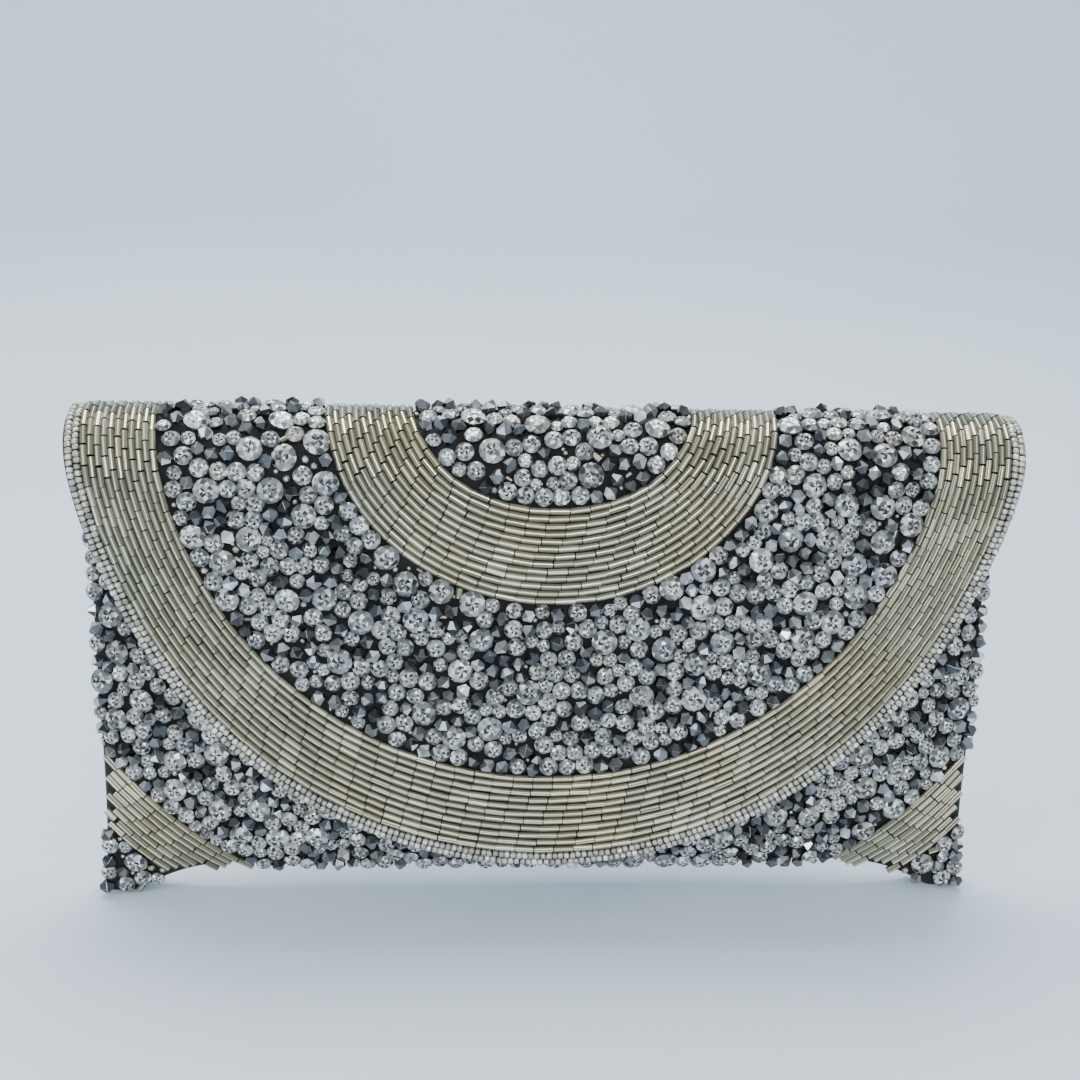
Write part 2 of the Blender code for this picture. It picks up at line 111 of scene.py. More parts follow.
def seam_half(z):
    up = np.clip(z / FOLD_HEIGHT, 0.0, 1.0)
    return SEAM_HALF_BASE + (SEAM_HALF_TOP - SEAM_HALF_BASE) * up - SEAM_PULL * np.sin(np.pi * up**0.6)


def base_z(x):
    part = np.clip((np.abs(x) - CORNER_START) / (CORNER_END - CORNER_START), 0.0, 1.0)
    return BASE_RISE * (1 - part**3)


def across(x, z):
    return 1 - np.minimum(np.abs(x) / seam_half(z), 1.0) ** CROWN_POWER


def swell(x, z, top):
    up = np.clip((z - base_z(x)) / (top - base_z(x)), 0.0, 1.0)
    return 1 - (1 - np.minimum(up / 0.5, 1.0)) ** CROWN_POWER


def seam_y(z):
    return (FOLD_RADIUS - SEAM_STACK) * smooth((z - SEAM_BEND_START) / (FOLD_HEIGHT - SEAM_BEND_START))


def stand(x, y, z):
    """Points about the purse's own middle plane, leaned back and set on the floor."""
    return np.stack(np.broadcast_arrays(x, y + FOLD_Y + LEAN * z, z), -1)


def front_point(x, z, height):
    """Points of the front panel, at a height above the outside of its base cloth."""
    middle = across(x, z)
    depth = FRONT_SWELL - FRONT_EASE * smooth((z - FRONT_EASE_START) / (FRONT_TOP - FRONT_EASE_START))
    y = seam_y(z) * (1 - middle) - SEAM_STACK - depth * middle * swell(x, z, FRONT_TOP) - height
    return stand(x, y, z)


def back_point(x, z, height):
    """Points of the back panel up to the fold's centre line, and round the fold above it."""
    low = np.minimum(z, FOLD_HEIGHT)
    middle = across(x, low)
    top_depth = FOLD_RADIUS - SEAM_STACK
    ease = smooth((low - BACK_EASE_START) / (FOLD_HEIGHT - BACK_EASE_START))
    depth = BACK_SWELL + (top_depth - BACK_SWELL) * ease
    y = seam_y(low) * (1 - middle) + SEAM_STACK + depth * middle * swell(x, low, FOLD_HEIGHT) + height
    panel = stand(x, y, low)
    turn = (z - FOLD_HEIGHT) - QUARTER_LENGTH
    around = fold_point(x, turn, height)
    return np.where((z > FOLD_HEIGHT)[..., None], around, panel)


def fold_point(x, length, height):
    """Points of the fold or the flap. The length runs along the base cloth from the fold's top line."""
    angle = np.clip(length / FOLD_RADIUS, -math.pi / 2, math.pi / 2)
    drop = np.maximum(length - QUARTER_LENGTH, 0.0)
    side = np.abs(x) / FOLD_HALF_LENGTH
    bulge = FLAP_BULGE * (1 - (1 - np.minimum(drop / BULGE_LENGTH, 1.0)) ** 2) * (1 - side**2.5)
    curl = SIDE_CURL * side**3 * smooth(drop / CURL_LENGTH)
    y = -(FOLD_RADIUS + height) * np.sin(angle) - bulge + curl
    z = FOLD_HEIGHT + (FOLD_RADIUS + height) * np.cos(angle) - drop
    return stand(x, y, z)


def corner_radius(x, z):
    """Distance from the centre of the nearer corner's band."""
    return np.hypot(np.abs(x) + CORNER_CENTRE[0], z - CORNER_CENTRE[1])


def ring_from_boxes(fold_node, flap_node):
    """Half width and depth of a bead ring, from the pieces of it on the fold and on the flap."""
    half = box_mm(fold_node)[1][0] + RING_GAP / 2
    depth = FOLD_HEIGHT + QUARTER_LENGTH - box_mm(flap_node)[0][2] + RING_GAP / 2
    return half, depth


CENTRE = ring_from_boxes("fold_centre_crystals", "flap_centre_crystals")
INNER = ring_from_boxes("fold_inner_bugles_right", "flap_inner_bugles")
MIDDLE = ring_from_boxes("fold_crystals_right", "flap_crystals")
OUTER = ring_from_boxes("fold_outer_bugles_right", "flap_outer_bugles")
EDGE = (FOLD_HALF_LENGTH, OUTER[1] + SEED_BAND)


def unit(vectors):
    return vectors / np.linalg.norm(vectors, axis=-1, keepdims=True)


def frames(surface, u, v, height, du=1.0, dv=0.0):
    """Points of a surface, with the directions along (du, dv), across it and out of the surface."""
    step = 0.05
    point = surface(u, v, height)
    du, dv = du * step, dv * step
    along = unit(surface(u + du, v + dv, height) - surface(u - du, v - dv, height))
    side = surface(u - dv, v + du, height) - surface(u + dv, v - du, height)
    out = unit(np.cross(along, side))
    rise = surface(u, v, height + step) - point
    out *= np.sign((out * rise).sum(-1, keepdims=True))
    return point, along, np.cross(out, along), out


# Materials


def new_material(name, roughness, metallic=0.0, **extra):
    material = bpy.data.materials.new(name)
    material.use_nodes = True
    shader = material.node_tree.nodes["Principled BSDF"]
    shader.inputs["Roughness"].default_value = roughness
    shader.inputs["Metallic"].default_value = metallic
    for socket, value in extra.items():
        shader.inputs[socket.replace("_", " ")].default_value = value
    return material, shader


def add_node(material, kind, **settings):
    node = material.node_tree.nodes.new(kind)
    for key, value in settings.items():
        if key in node.inputs:
            node.inputs[key].default_value = value
        else:
            setattr(node, key, value)
    return node


def link(material, source, target):
    material.node_tree.links.new(source, target)


def ramp(material, source, stops):
    """The colour that a ramp gives to a value."""
    node = add_node(material, "ShaderNodeValToRGB")
    colours = node.color_ramp.elements
    while len(colours) > 1:
        colours.remove(colours[-1])
    colours[0].position = stops[0][0]
    colours[0].color = (*stops[0][1], 1)
    for position, colour in stops[1:]:
        colours.new(position).color = (*colour, 1)
    link(material, source, node.inputs[0])
    return node.outputs[0]


def multiply(material, first, second):
    mix = add_node(material, "ShaderNodeMix", data_type="RGBA", blend_type="MULTIPLY")
    mix.inputs[0].default_value = 1.0
    link(material, first, mix.inputs[6])
    link(material, second, mix.inputs[7])
    return mix.outputs[2]


def mottled(name, roughness, metallic, stops, uv_map=None, **pattern):
    """A finish whose colour drifts along a ramp."""
    material, shader = new_material(name, roughness, metallic)
    spots = add_node(material, "ShaderNodeTexNoise", **pattern)
    if uv_map:
        cloth = add_node(material, "ShaderNodeUVMap", uv_map=uv_map)
        link(material, cloth.outputs[0], spots.inputs["Vector"])
    link(material, ramp(material, spots.outputs[0], stops), shader.inputs["Base Color"])
    return material


def glass_bead(name, shades, tints, roughness, metallic, **extra):
    """A bead finish. Each face's place on the palette sets its painted shade (U), standing in for the light,
    shade and reflections on that facet, and each bead's its tint (V).
    """
    material, shader = new_material(name, roughness, metallic, **extra)
    palette = add_node(material, "ShaderNodeUVMap", uv_map="OFBake")
    split = add_node(material, "ShaderNodeSeparateXYZ")
    link(material, palette.outputs[0], split.inputs[0])
    shade = ramp(material, split.outputs[0], shades)
    tinted = multiply(material, shade, ramp(material, split.outputs[1], tints))
    mottle = add_node(material, "ShaderNodeTexNoise", Scale=45.0, Detail=2.0)
    link(material, palette.outputs[0], mottle.inputs["Vector"])
    patch = ramp(material, mottle.outputs[0], [(0.3, (0.86, 0.86, 0.86)), (0.7, (1.0, 1.0, 1.0))])
    link(material, multiply(material, tinted, patch), shader.inputs["Base Color"])
    return material


CRYSTAL = glass_bead(
    "cut_crystal",
    [(0.0, (0.004, 0.004, 0.004)), (0.25, (0.050, 0.051, 0.050)), (0.5, (0.20, 0.205, 0.20)),
     (0.75, (0.50, 0.51, 0.50)), (1.0, (1.0, 1.0, 0.99))],
    [(0.0, (0.88, 0.95, 1.0)), (0.5, (1.0, 1.0, 1.0)), (1.0, (1.0, 0.95, 0.84))],
    0.09, 0.25, IOR=1.6,
)
BICONE = glass_bead(
    "hematite_bicone",
    [(0.0, (0.004, 0.004, 0.005)), (0.25, (0.035, 0.036, 0.039)), (0.5, (0.125, 0.127, 0.130)),
     (0.75, (0.34, 0.345, 0.355)), (1.0, (0.92, 0.95, 1.0))],
    [(0.0, (0.82, 0.93, 1.0)), (0.5, (1.0, 1.0, 1.0)), (1.0, (1.0, 0.92, 0.84))],
    0.15, 0.45, IOR=1.6,
)
BUGLE = glass_bead(
    "lined_bugle",
    [(0.0, (0.035, 0.032, 0.022)), (0.25, (0.145, 0.138, 0.095)), (0.5, (0.285, 0.28, 0.21)),
     (0.75, (0.55, 0.545, 0.45)), (1.0, (1.0, 1.0, 0.95))],
    [(0.0, (1.0, 0.87, 0.68)), (0.5, (1.0, 0.98, 0.92)), (1.0, (0.93, 1.0, 0.96))],
    0.12, 0.6,
)
SEED = glass_bead(
    "lined_seed",
    [(0.0, (0.04, 0.037, 0.03)), (0.25, (0.14, 0.135, 0.12)), (0.5, (0.30, 0.298, 0.275)),
     (0.75, (0.53, 0.53, 0.48)), (1.0, (0.98, 0.98, 0.94))],
    [(0.0, (1.0, 0.88, 0.66)), (0.5, (1.0, 0.98, 0.93)), (1.0, (0.95, 1.0, 1.0))],
    0.22, 0.4,
)
# Painted glints: a small share of stone and bicone facets are lifted towards white.
PAINTED_GLINT_SHARES = {"brilliant": 0.05, "bicone": 0.04}
PAINTED_GLINT_LIFT = 0.4


# Bead shapes, about a radius of 1. Each face has a mean shade, a spread and a smooth flag. On the glass beads
# # these shades are painted light, shade and reflections.


class Shape:
    def __init__(self, middle):
        self.points = []
        self.faces = []
        self.traits = []
        self.middle = np.array(middle)
        self.gain = 2.0

    def ring(self, points):
        first = len(self.points)
        self.points += [tuple(point) for point in points]
        return list(range(first, len(self.points)))

    def face(self, corners, shade, spread, rounded=False):
        spots = np.array([self.points[corner] for corner in corners])
        normal = np.zeros(3)
        for near, far in zip(spots, np.roll(spots, -1, axis=0)):
            normal += np.cross(near, far)
        if normal @ (spots.mean(axis=0) - self.middle) < 0:
            corners = corners[::-1]
        self.faces.append(list(corners))
        self.traits.append((shade, spread, rounded))

    def done(self):
        self.points = np.array(self.points)
        self.corners = np.array([corner for face in self.faces for corner in face])
        self.totals = np.array([len(face) for face in self.faces])
        self.shade, self.spread, self.rounded = (np.array(trait) for trait in zip(*self.traits))
        turns = np.concatenate([np.arange(total) / total for total in self.totals]) * 2 * math.pi
        self.speck = 0.004 * np.stack([np.cos(turns), np.sin(turns)], -1)
        return self


def circle(count, radius, z, start=0.0):
    return [(radius * math.cos(2 * math.pi * (k + start) / count),
             radius * math.sin(2 * math.pi * (k + start) / count), z) for k in range(count)]


def brilliant():
    """A round stone with a table, star, kite and girdle facets, in a low cup. Its table is split as its
    pavilion facets show through it. The facet shades are painted reflections, light and dark facets
    alternating round the stone, with a darker girdle band and cup."""
    shape = Shape((0, 0, 0.4))
    centre = shape.ring([(0, 0, 0.98)])[0]
    inner = shape.ring(circle(8, 0.27, 1.0, 0.5))
    table = shape.ring(circle(8, 0.56, 1.0))
    star = shape.ring(circle(8, 0.78, 0.88, 0.5))
    girdle = shape.ring(circle(16, 1.0, 0.60))
    lip = shape.ring(circle(16, 1.02, 0.45))
    base = shape.ring(circle(16, 0.80, 0.0))
    for k in range(8):
        after = (k + 1) % 8
        # swing alternates painted light and dark reflections from facet to facet.
        swing = 0.20 if k % 2 else -0.20
        shape.face([centre, inner[k], inner[after]], 0.46 + 1.3 * swing, 0.20)
        shape.face([inner[k], table[k], inner[k - 1]], 0.36 - swing, 0.20)
        shape.face([inner[k], table[after], table[k]], 0.52 + 1.2 * swing, 0.20)
        shape.face([table[k], star[k], table[after]], 0.64, 0.17)
        shape.face([table[k], star[k - 1], girdle[2 * k], star[k]], 0.55 + 0.5 * swing, 0.16)
        shape.face([star[k], girdle[2 * k], girdle[2 * k + 1]], 0.56, 0.15)
        shape.face([star[k], girdle[2 * k + 1], girdle[(2 * k + 2) % 16]], 0.52, 0.15)
    for k in range(16):
        after = (k + 1) % 16
        shape.face([girdle[k], lip[k], lip[after], girdle[after]], 0.26, 0.12)
        shape.face([lip[k], base[k], base[after], lip[after]], 0.13, 0.06)
    return shape.done()


def tube_rings(shape, sections, angles):
    """Rings round the X axis: each section is a distance along it and a radius."""
    return [shape.ring([(x, radius * math.sin(angle), radius * math.cos(angle)) for angle in angles])
            for x, radius in sections]


def sleeve(shape, rings, shades, spread, rounded=False):
    """Faces between rings, with one shade for each row."""
    for low, high, shade in zip(rings, rings[1:], shades):
        for k in range(len(low)):
            after = (k + 1) % len(low)
            shape.face([low[k], low[after], high[after], high[k]], shade, spread, rounded)


def bicone():
    shape = Shape((0, 0, 0))
    angles = [2 * math.pi * k / 6 for k in range(6)]
    rings = tube_rings(shape, [(-0.95, 0.34), (-0.03, 1.0), (0.03, 1.0), (0.95, 0.34)], angles)
    # The facets' random shades are painted reflections; the end caps are darker.
    sleeve(shape, rings, (0.48, 0.50, 0.48), 0.20)
    shape.face(rings[0], 0.16, 0.06)
    shape.face(rings[-1], 0.16, 0.06)
    return shape.done()


def bugle():
    """A glass tube with a silver core: a painted highlight line along the top, olive down its sides, dark at
    its ends. Its foot widens to meet the next row and is painted lighter than the sides, in place of light
    through the glass."""
    shape = Shape((0, 0, 0))
    turns = [math.radians(angle) for angle in (8, 28, 54)]
    slopes = [(math.sin(turn), math.cos(turn)) for turn in turns]
    right = slopes + [(1.0, 0.40), (1.04, -0.40)]
    profile = right + [(-y, z) for y, z in reversed(right)]
    # The last, top strip is a painted highlight, and the foot faces are painted lighter than the sides.
    shades = (0.45, 0.39, 0.38, 0.50, 0.20, 0.50, 0.38, 0.39, 0.45, 0.96)
    ends = (-0.5, 0.5, -0.5, 0.5)
    near, far, near_cap, far_cap = (shape.ring([(x, y, z) for y, z in profile]) for x in ends)
    for k, shade in enumerate(shades):
        after = (k + 1) % len(profile)
        shape.face([near[k], near[after], far[after], far[k]], shade, 0.025, True)
    shape.face(near_cap, 0.20, 0.04)
    shape.face(far_cap, 0.20, 0.04)
    shape.gain = 1.0
    return shape.done()


def seed_bead():
    """A rounded bead with its hole along X, painted lighter on its outward faces and darker on its flanks and
    ends: painted light and shade.
    """
    shape = Shape((0, 0, 0))
    angles = [2 * math.pi * (k + 0.5) / 8 for k in range(8)]
    rings = tube_rings(shape, [(-0.5, 0.70), (-0.30, 1.0), (0.30, 1.0), (0.5, 0.70)], angles)
    for low, high, dim in zip(rings, rings[1:], (0.14, 0.0, 0.14)):
        for k in range(8):
            after = (k + 1) % 8
            # Faces turned out from the cloth are painted lighter and those turned towards it darker.
            facing = math.cos(2 * math.pi * (k + 1) / 8)
            shape.face([low[k], low[after], high[after], high[k]], 0.54 + 0.22 * facing - dim, 0.08, True)
    shape.face(rings[0], 0.25, 0.05)
    shape.face(rings[-1], 0.25, 0.05)
    return shape.done()


def pebble():
    """A tiny round filler bead, painted lighter on top and darker underneath: painted light and shade."""
    shape = Shape((0, 0, 0.6))
    top = shape.ring([(0, 0, 1.2)])[0]
    high = shape.ring(circle(6, 0.62, 1.0))
    wide = shape.ring(circle(6, 1.0, 0.5, 0.5))
    low = shape.ring(circle(6, 0.75, 0.0))
    for k in range(6):
        after = (k + 1) % 6
        shape.face([top, high[k], high[after]], 0.80, 0.14, True)
        shape.face([high[k], wide[k], high[after]], 0.55, 0.18, True)
        shape.face([high[k], wide[k - 1], wide[k]], 0.50, 0.18, True)
        shape.face([wide[k - 1], low[k], wide[k]], 0.20, 0.10, True)
        shape.face([wide[k], low[k], low[after]], 0.20, 0.10, True)
    return shape.done()


SHAPES = {
    "brilliant": brilliant(), "bicone": bicone(), "bugle": bugle(), "seed": seed_bead(), "pebble": pebble(),
}
FINISH_OF = {"brilliant": CRYSTAL, "bicone": BICONE, "bugle": BUGLE, "seed": SEED, "pebble": SEED}


class Beadwork:
    """Beads gathered into one mesh."""

    def __init__(self, name, seed):
        self.name = name
        self.rng = np.random.default_rng(seed)
        self.points, self.corners, self.totals, self.palette = [], [], [], []
        self.slots, self.rounded, self.materials = [], [], []
        self.count = 0

    def add(self, kind, point, along, side, out, size, tone, tint, finish=None):
        """Beads of one kind. size is (N, 3) along each direction, tone lightens them, and tint is their V."""
        shape = SHAPES[kind]
        number = len(point)
        if number == 0:
            return
        local = shape.points[None] * size[:, None]
        spots = point[:, None] + (local[..., :1] * along[:, None] + local[..., 1:2] * side[:, None]
                                  + local[..., 2:] * out[:, None])
        self.points.append(spots.reshape(-1, 3))
        starts = self.count + np.arange(number) * len(shape.points)
        self.corners.append((starts[:, None] + shape.corners).ravel())
        self.count += number * len(shape.points)
        self.totals.append(np.tile(shape.totals, number))
        shade = shape.shade + self.rng.normal(0, 1, (number, len(shape.shade))) * shape.spread
        # Painted glints: a few facets lifted towards white.
        shade += PAINTED_GLINT_LIFT * (self.rng.random(shade.shape) < PAINTED_GLINT_SHARES.get(kind, 0.0))
        shade = np.clip(shade + tone[:, None] * np.clip(shape.shade * shape.gain, 0, 1), 0.01, 0.99)
        level = np.clip(tint[:, None] + self.rng.normal(0, 0.03, shade.shape), 0.01, 0.99)
        centres = np.stack([shade, level], -1)
        self.palette.append((np.repeat(centres, shape.totals, axis=1) + shape.speck).reshape(-1, 2))
        if finish is None:
            finish = FINISH_OF[kind]
        if finish not in self.materials:
            self.materials.append(finish)
        self.slots.append(np.full(number * len(shape.totals), self.materials.index(finish)))
        self.rounded.append(np.tile(shape.rounded, number))

    def make(self, body, slot, *nodes, woven_finish=False):
        mesh = mesh_from(self.name, np.concatenate(self.points), np.concatenate(self.corners),
                         np.concatenate(self.totals))
        mesh.polygons.foreach_set("use_smooth", np.concatenate(self.rounded))
        mesh.polygons.foreach_set("material_index", np.concatenate(self.slots).astype(np.int32))
        add_uv(mesh, "OFBake", np.concatenate(self.palette))
        if woven_finish:
            spots = np.array([mesh.vertices[corner].co for corner in corner_vertices(mesh)])
            add_uv(mesh, "Cloth", spots[:, [0, 2]] * 100)
        for material in self.materials:
            mesh.materials.append(material)
        return place(mesh, body, nodes)


def corner_vertices(mesh):
    return np.array([loop.vertex_index for loop in mesh.loops])


def add_uv(mesh, name, pairs):
    """A UV layer, from one pair for each face corner."""
    layer = mesh.uv_layers.new(name=name)
    layer.data.foreach_set("uv", pairs.astype(np.float32).ravel())


def mesh_from(name, points, corners, totals):
    mesh = bpy.data.meshes.new(name)
    mesh.vertices.add(len(points))
    mesh.vertices.foreach_set("co", (points * MM).astype(np.float32).ravel())
    mesh.loops.add(len(corners))
    mesh.loops.foreach_set("vertex_index", corners.astype(np.int32))
    mesh.polygons.add(len(totals))
    starts = np.concatenate([[0], np.cumsum(totals)[:-1]])
    mesh.polygons.foreach_set("loop_start", starts.astype(np.int32))
    mesh.update(calc_edges=True)
    mesh.validate()
    return mesh


def place(mesh, body, nodes=()):
    """Puts a piece on a body and hides its CAD nodes. Where body is a bend, the piece is only baked in place
    and joins no body.
    """
    piece = bpy.data.objects.new(mesh.name, mesh)
    bpy.context.scene.collection.objects.link(piece)
    if nodes:
        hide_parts(*nodes)
    if isinstance(body, str):
        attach(piece, body)
    else:
        rear, front, length = body
        start, end = (fold_point(np.array(0.0), np.array(length + reach), np.array(0.0)) * MM
                      for reach in (-BEND_REACH, BEND_REACH))
        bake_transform(piece)
    return piece


# Rows of bugles and seed beads along the rings


def ring_path(ring, low_length, steps=400):
    """x and length along a ring, from behind the fold's top line on the left, round and back on the right."""
    half, depth = ring
    rear = np.linspace(low_length, 0.0, 12, endpoint=False)
    turn = np.linspace(0.0, math.pi, steps)
    x = np.concatenate([np.full(12, -half), -half * np.cos(turn), np.full(12, half)])
    length = np.concatenate([rear, depth * np.sin(turn), rear[::-1]])
    return x, length


def arc_path(radius, side, steps=200):
    """x and z along a corner band's arc, from the side seam to the bottom seam."""
    angle = np.linspace(0.0, math.pi / 2, 2000)
    x = radius * np.cos(angle) - CORNER_CENTRE[0]
    z = CORNER_CENTRE[1] - radius * np.sin(angle)
    inside = (x <= seam_half(z) + 0.5) & (z >= base_z(x) - BASE_OVERHANG)
    low, high = angle[inside][[0, -1]]
    angle = np.linspace(low, high, steps)
    return side * (radius * np.cos(angle) - CORNER_CENTRE[0]), CORNER_CENTRE[1] - radius * np.sin(angle)


def beads_along(surface, path, height, pitch, start, rng, slack=0.0):
    """Where beads of one pitch sit along a path: their surface coordinates, the way they point, and how far
    each is from the nearer end."""
    u, v = path
    line = surface(u, v, height)
    run = np.concatenate([[0.0], np.cumsum(np.linalg.norm(np.diff(line, axis=0), axis=1))])
    spots = np.arange(start, run[-1] - pitch * 0.35, pitch)
    spots = spots + rng.normal(0, slack, len(spots))
    spots = spots[(spots > pitch * 0.3) & (spots < run[-1] - pitch * 0.3)]
    mid_u, mid_v = np.interp(spots, run, u), np.interp(spots, run, v)
    du = np.interp(spots + 0.5, run, u) - np.interp(spots - 0.5, run, u)
    dv = np.interp(spots + 0.5, run, v) - np.interp(spots - 0.5, run, v)
    size = np.hypot(du, dv)
    return mid_u, mid_v, du / size, dv / size, np.minimum(spots, run[-1] - spots)


def turn_frame(along, side, out, about_out, about_along):
    """Turns a bead's directions a little, about the surface's normal and then about its own length."""
    c, s = np.cos(about_out)[:, None], np.sin(about_out)[:, None]
    along, side = along * c + side * s, side * c - along * s
    c, s = np.cos(about_along)[:, None], np.sin(about_along)[:, None]
    return along, side * c + out * s, out * c - side * s


def patches(point, scale, seed):
    """Slow variation over the beadwork, about 0."""
    return np.array([noise.noise(Vector(spot) / scale + Vector((seed, 0, 0))) for spot in point])


BUGLE_LENGTH = 5.06
BUGLE_PITCH = 5.3
BUGLE_HEIGHT = 1.45


def share_out(works, bodies, kind, *traits):
    """Gives each body's beadwork its own beads."""
    for body, work in works.items():
        mine = bodies == body
        work.add(kind, *(trait[mine] for trait in traits))


def lay_bugles(works, surface, paths, widths, seed, body_of):
    """Rows of bugles. works maps each body to its beadwork and body_of tells a bead's body."""
    rng = np.random.default_rng(seed)
    shift = 0.0
    for path, width in zip(paths, widths):
        shift = (shift + rng.uniform(0.25, 0.6)) % 1.0
        start = BUGLE_PITCH * (0.2 + shift)
        u, v, du, dv, room = beads_along(surface, path, 1.5, BUGLE_PITCH, start, rng, 0.05)
        point, along, side, out = frames(surface, u, v, BUGLE_HEIGHT, du, dv)
        number = len(point)
        point = point + out * rng.normal(0, 0.05, (number, 1)) + side * rng.normal(0, 0.04, (number, 1))
        skew = rng.normal(0, 0.018, number)
        along, side, out = turn_frame(along, side, out, skew, rng.normal(0, 0.10, number))
        length = np.minimum(BUGLE_LENGTH + rng.normal(0, 0.05, number), 2 * room)
        size = np.stack([length, np.full(number, width * 0.495), np.full(number, 0.92)], -1)
        # Painted reflections: slow patches make bugles lighter or darker and warmer or cooler, and glints,
        # commoner in the lighter patches, are painted highlights.
        slow = patches(point, 16.0, seed) + 0.5 * patches(point, 5.0, seed + 3)
        tone = 0.12 * slow + rng.normal(0, 0.055, number)
        glint = rng.random(number) < 0.12 + 0.55 * smooth((slow - 0.02) / 0.45)
        tone += np.where(glint, rng.uniform(0.14, 0.36, number), -0.06)
        tint = 0.42 + 0.35 * patches(point, 24.0, seed + 7) + rng.normal(0, 0.05, number)
        share_out(works, body_of(u, v), "bugle", point, along, side, out, size, tone, tint)


def flap_body(u, v):
    return np.where(v < HINGE_LENGTH, "fold", "flap")


def pouch_body(u, v):
    return np.full(len(u), "pouch")


def band_rows(inner, outer, count):
    """Centre lines and widths of the rows of a band between two rings."""
    parts = (np.arange(count) + 0.5) / count
    low = (inner[0] + 0.2, inner[1] + 0.2)
    high = (outer[0] - 0.2, outer[1] - 0.2)
    paths = [ring_path((low[0] + (high[0] - low[0]) * part, low[1] + (high[1] - low[1]) * part),
                       -HINGE_LENGTH) for part in parts]
    return paths, [(high[0] - low[0]) / count * 1.04] * count


def make_bands():
    bands = (("inner", CENTRE, INNER, 13, 11), ("outer", MIDDLE, OUTER, 11, 12))
    for name, inside, outside, count, seed in bands:
        works = {"fold": Beadwork(f"{name}_bugle_rows_over_fold", seed),
                 "flap": Beadwork(f"{name}_bugle_rows", seed)}
        paths, widths = band_rows(inside, outside, count)
        lay_bugles(works, fold_point, paths, widths, seed, flap_body)
        works["fold"].make("fold", "bugle_bead", f"fold_{name}_bugles_left", f"fold_{name}_bugles_right")
        works["flap"].make("flap", "bugle_bead", f"flap_{name}_bugles")
    row_width = (CORNER_BAND[1] - CORNER_BAND[0]) / CORNER_ROWS
    radii = CORNER_BAND[0] + (np.arange(CORNER_ROWS) + 0.5) * row_width
    for side, word in ((-1, "left"), (1, "right")):
        work = Beadwork(f"corner_bugle_rows_{word}", 20 + side)
        paths = [arc_path(radius, side) for radius in radii]
        lay_bugles({"pouch": work}, front_point, paths, [row_width] * CORNER_ROWS, 20 + side, pouch_body)
        work.make("pouch", "bugle_bead", f"corner_bugles_{word}")


SEED_PITCH = 1.62


def make_seed_edge():
    """Two rows of seed beads round the flap's edge."""
    rng = np.random.default_rng(31)
    works = {"fold": Beadwork("seed_rows_over_fold", 31), "flap": Beadwork("seed_rows", 32)}
    width = (EDGE[0] - OUTER[0]) / 2
    for row in range(2):
        ring = (OUTER[0] + width * (row + 0.5), OUTER[1] + width * (row + 0.5))
        path = ring_path(ring, -HINGE_LENGTH)
        u, v, du, dv, _ = beads_along(fold_point, path, 1.0, SEED_PITCH, 0.8 + 0.8 * row, rng, 0.06)
        point, along, side, out = frames(fold_point, u, v, 1.05 - 0.25 * row, du, dv)
        number = len(point)
        point = point + out * rng.normal(0, 0.07, (number, 1)) + side * rng.normal(0, 0.06, (number, 1))
        skew = rng.normal(0, 0.12, number)
        along, side, out = turn_frame(along, side, out, skew, rng.normal(0, 0.3, number))
        scale = rng.uniform(0.92, 1.04, (number, 1))
        size = np.array([[1.56, 1.0, 0.96]]) * scale
        tone = rng.normal(0.0, 0.10, number)
        tint = 0.5 + rng.normal(0, 0.10, number)
        share_out(works, flap_body(u, v), "seed", point, along, side, out, size, tone, tint)
    works["fold"].make("fold", "seed_bead", "fold_seed_edge_left", "fold_seed_edge_right")
    works["flap"].make("flap", "seed_bead", "flap_seed_edge")


# Fields of crystals


def ring_inset(ring, u, v):
    """About how far inside a ring each point is, in millimetres. It is negative outside."""
    half, depth = ring
    reach = np.hypot(u, np.maximum(v, 0.0))
    scale = np.maximum(np.hypot(u / half, np.maximum(v, 0.0) / depth), 0.001)
    return reach / scale - reach


# Each kind's share of the stones, and its least and greatest radius
STONES = {"large": (0.10, 3.25, 3.5), "medium": (0.36, 2.3, 2.6), "small": (0.16, 1.8, 2.1),
          "bicone": (0.38, 1.85, 2.2)}
LARGE_SPACING = 9.5
COVER = 0.96
PUSHES = 90
EVEN_STEPS = (0.7548776662, 0.5698402910)


def inside_by(inset, spots):
    return inset(spots[:, 0], spots[:, 1])


def push_apart(spots, radii, large, inset):
    """Moves overlapping footprints apart and keeps them inside their region."""
    reach = radii[:, None] + radii[None]
    reach[np.outer(large, large)] = LARGE_SPACING
    np.fill_diagonal(reach, 0.0)
    nudge = 0.2
    for _ in range(PUSHES):
        gap = spots[:, None] - spots[None]
        distance = np.hypot(gap[..., 0], gap[..., 1]) + 1e-6
        push = np.clip(reach - distance, 0.0, None) * 0.32 / distance
        spots = spots + (gap * push[..., None]).sum(axis=1)
        edge = inside_by(inset, spots)
        slope = np.stack([inside_by(inset, spots + step) - edge for step in ((nudge, 0), (0, nudge))], -1)
        spots = spots + unit(slope + 1e-9) * np.clip(radii * 0.88 - edge, 0.0, None)[:, None]
    return spots


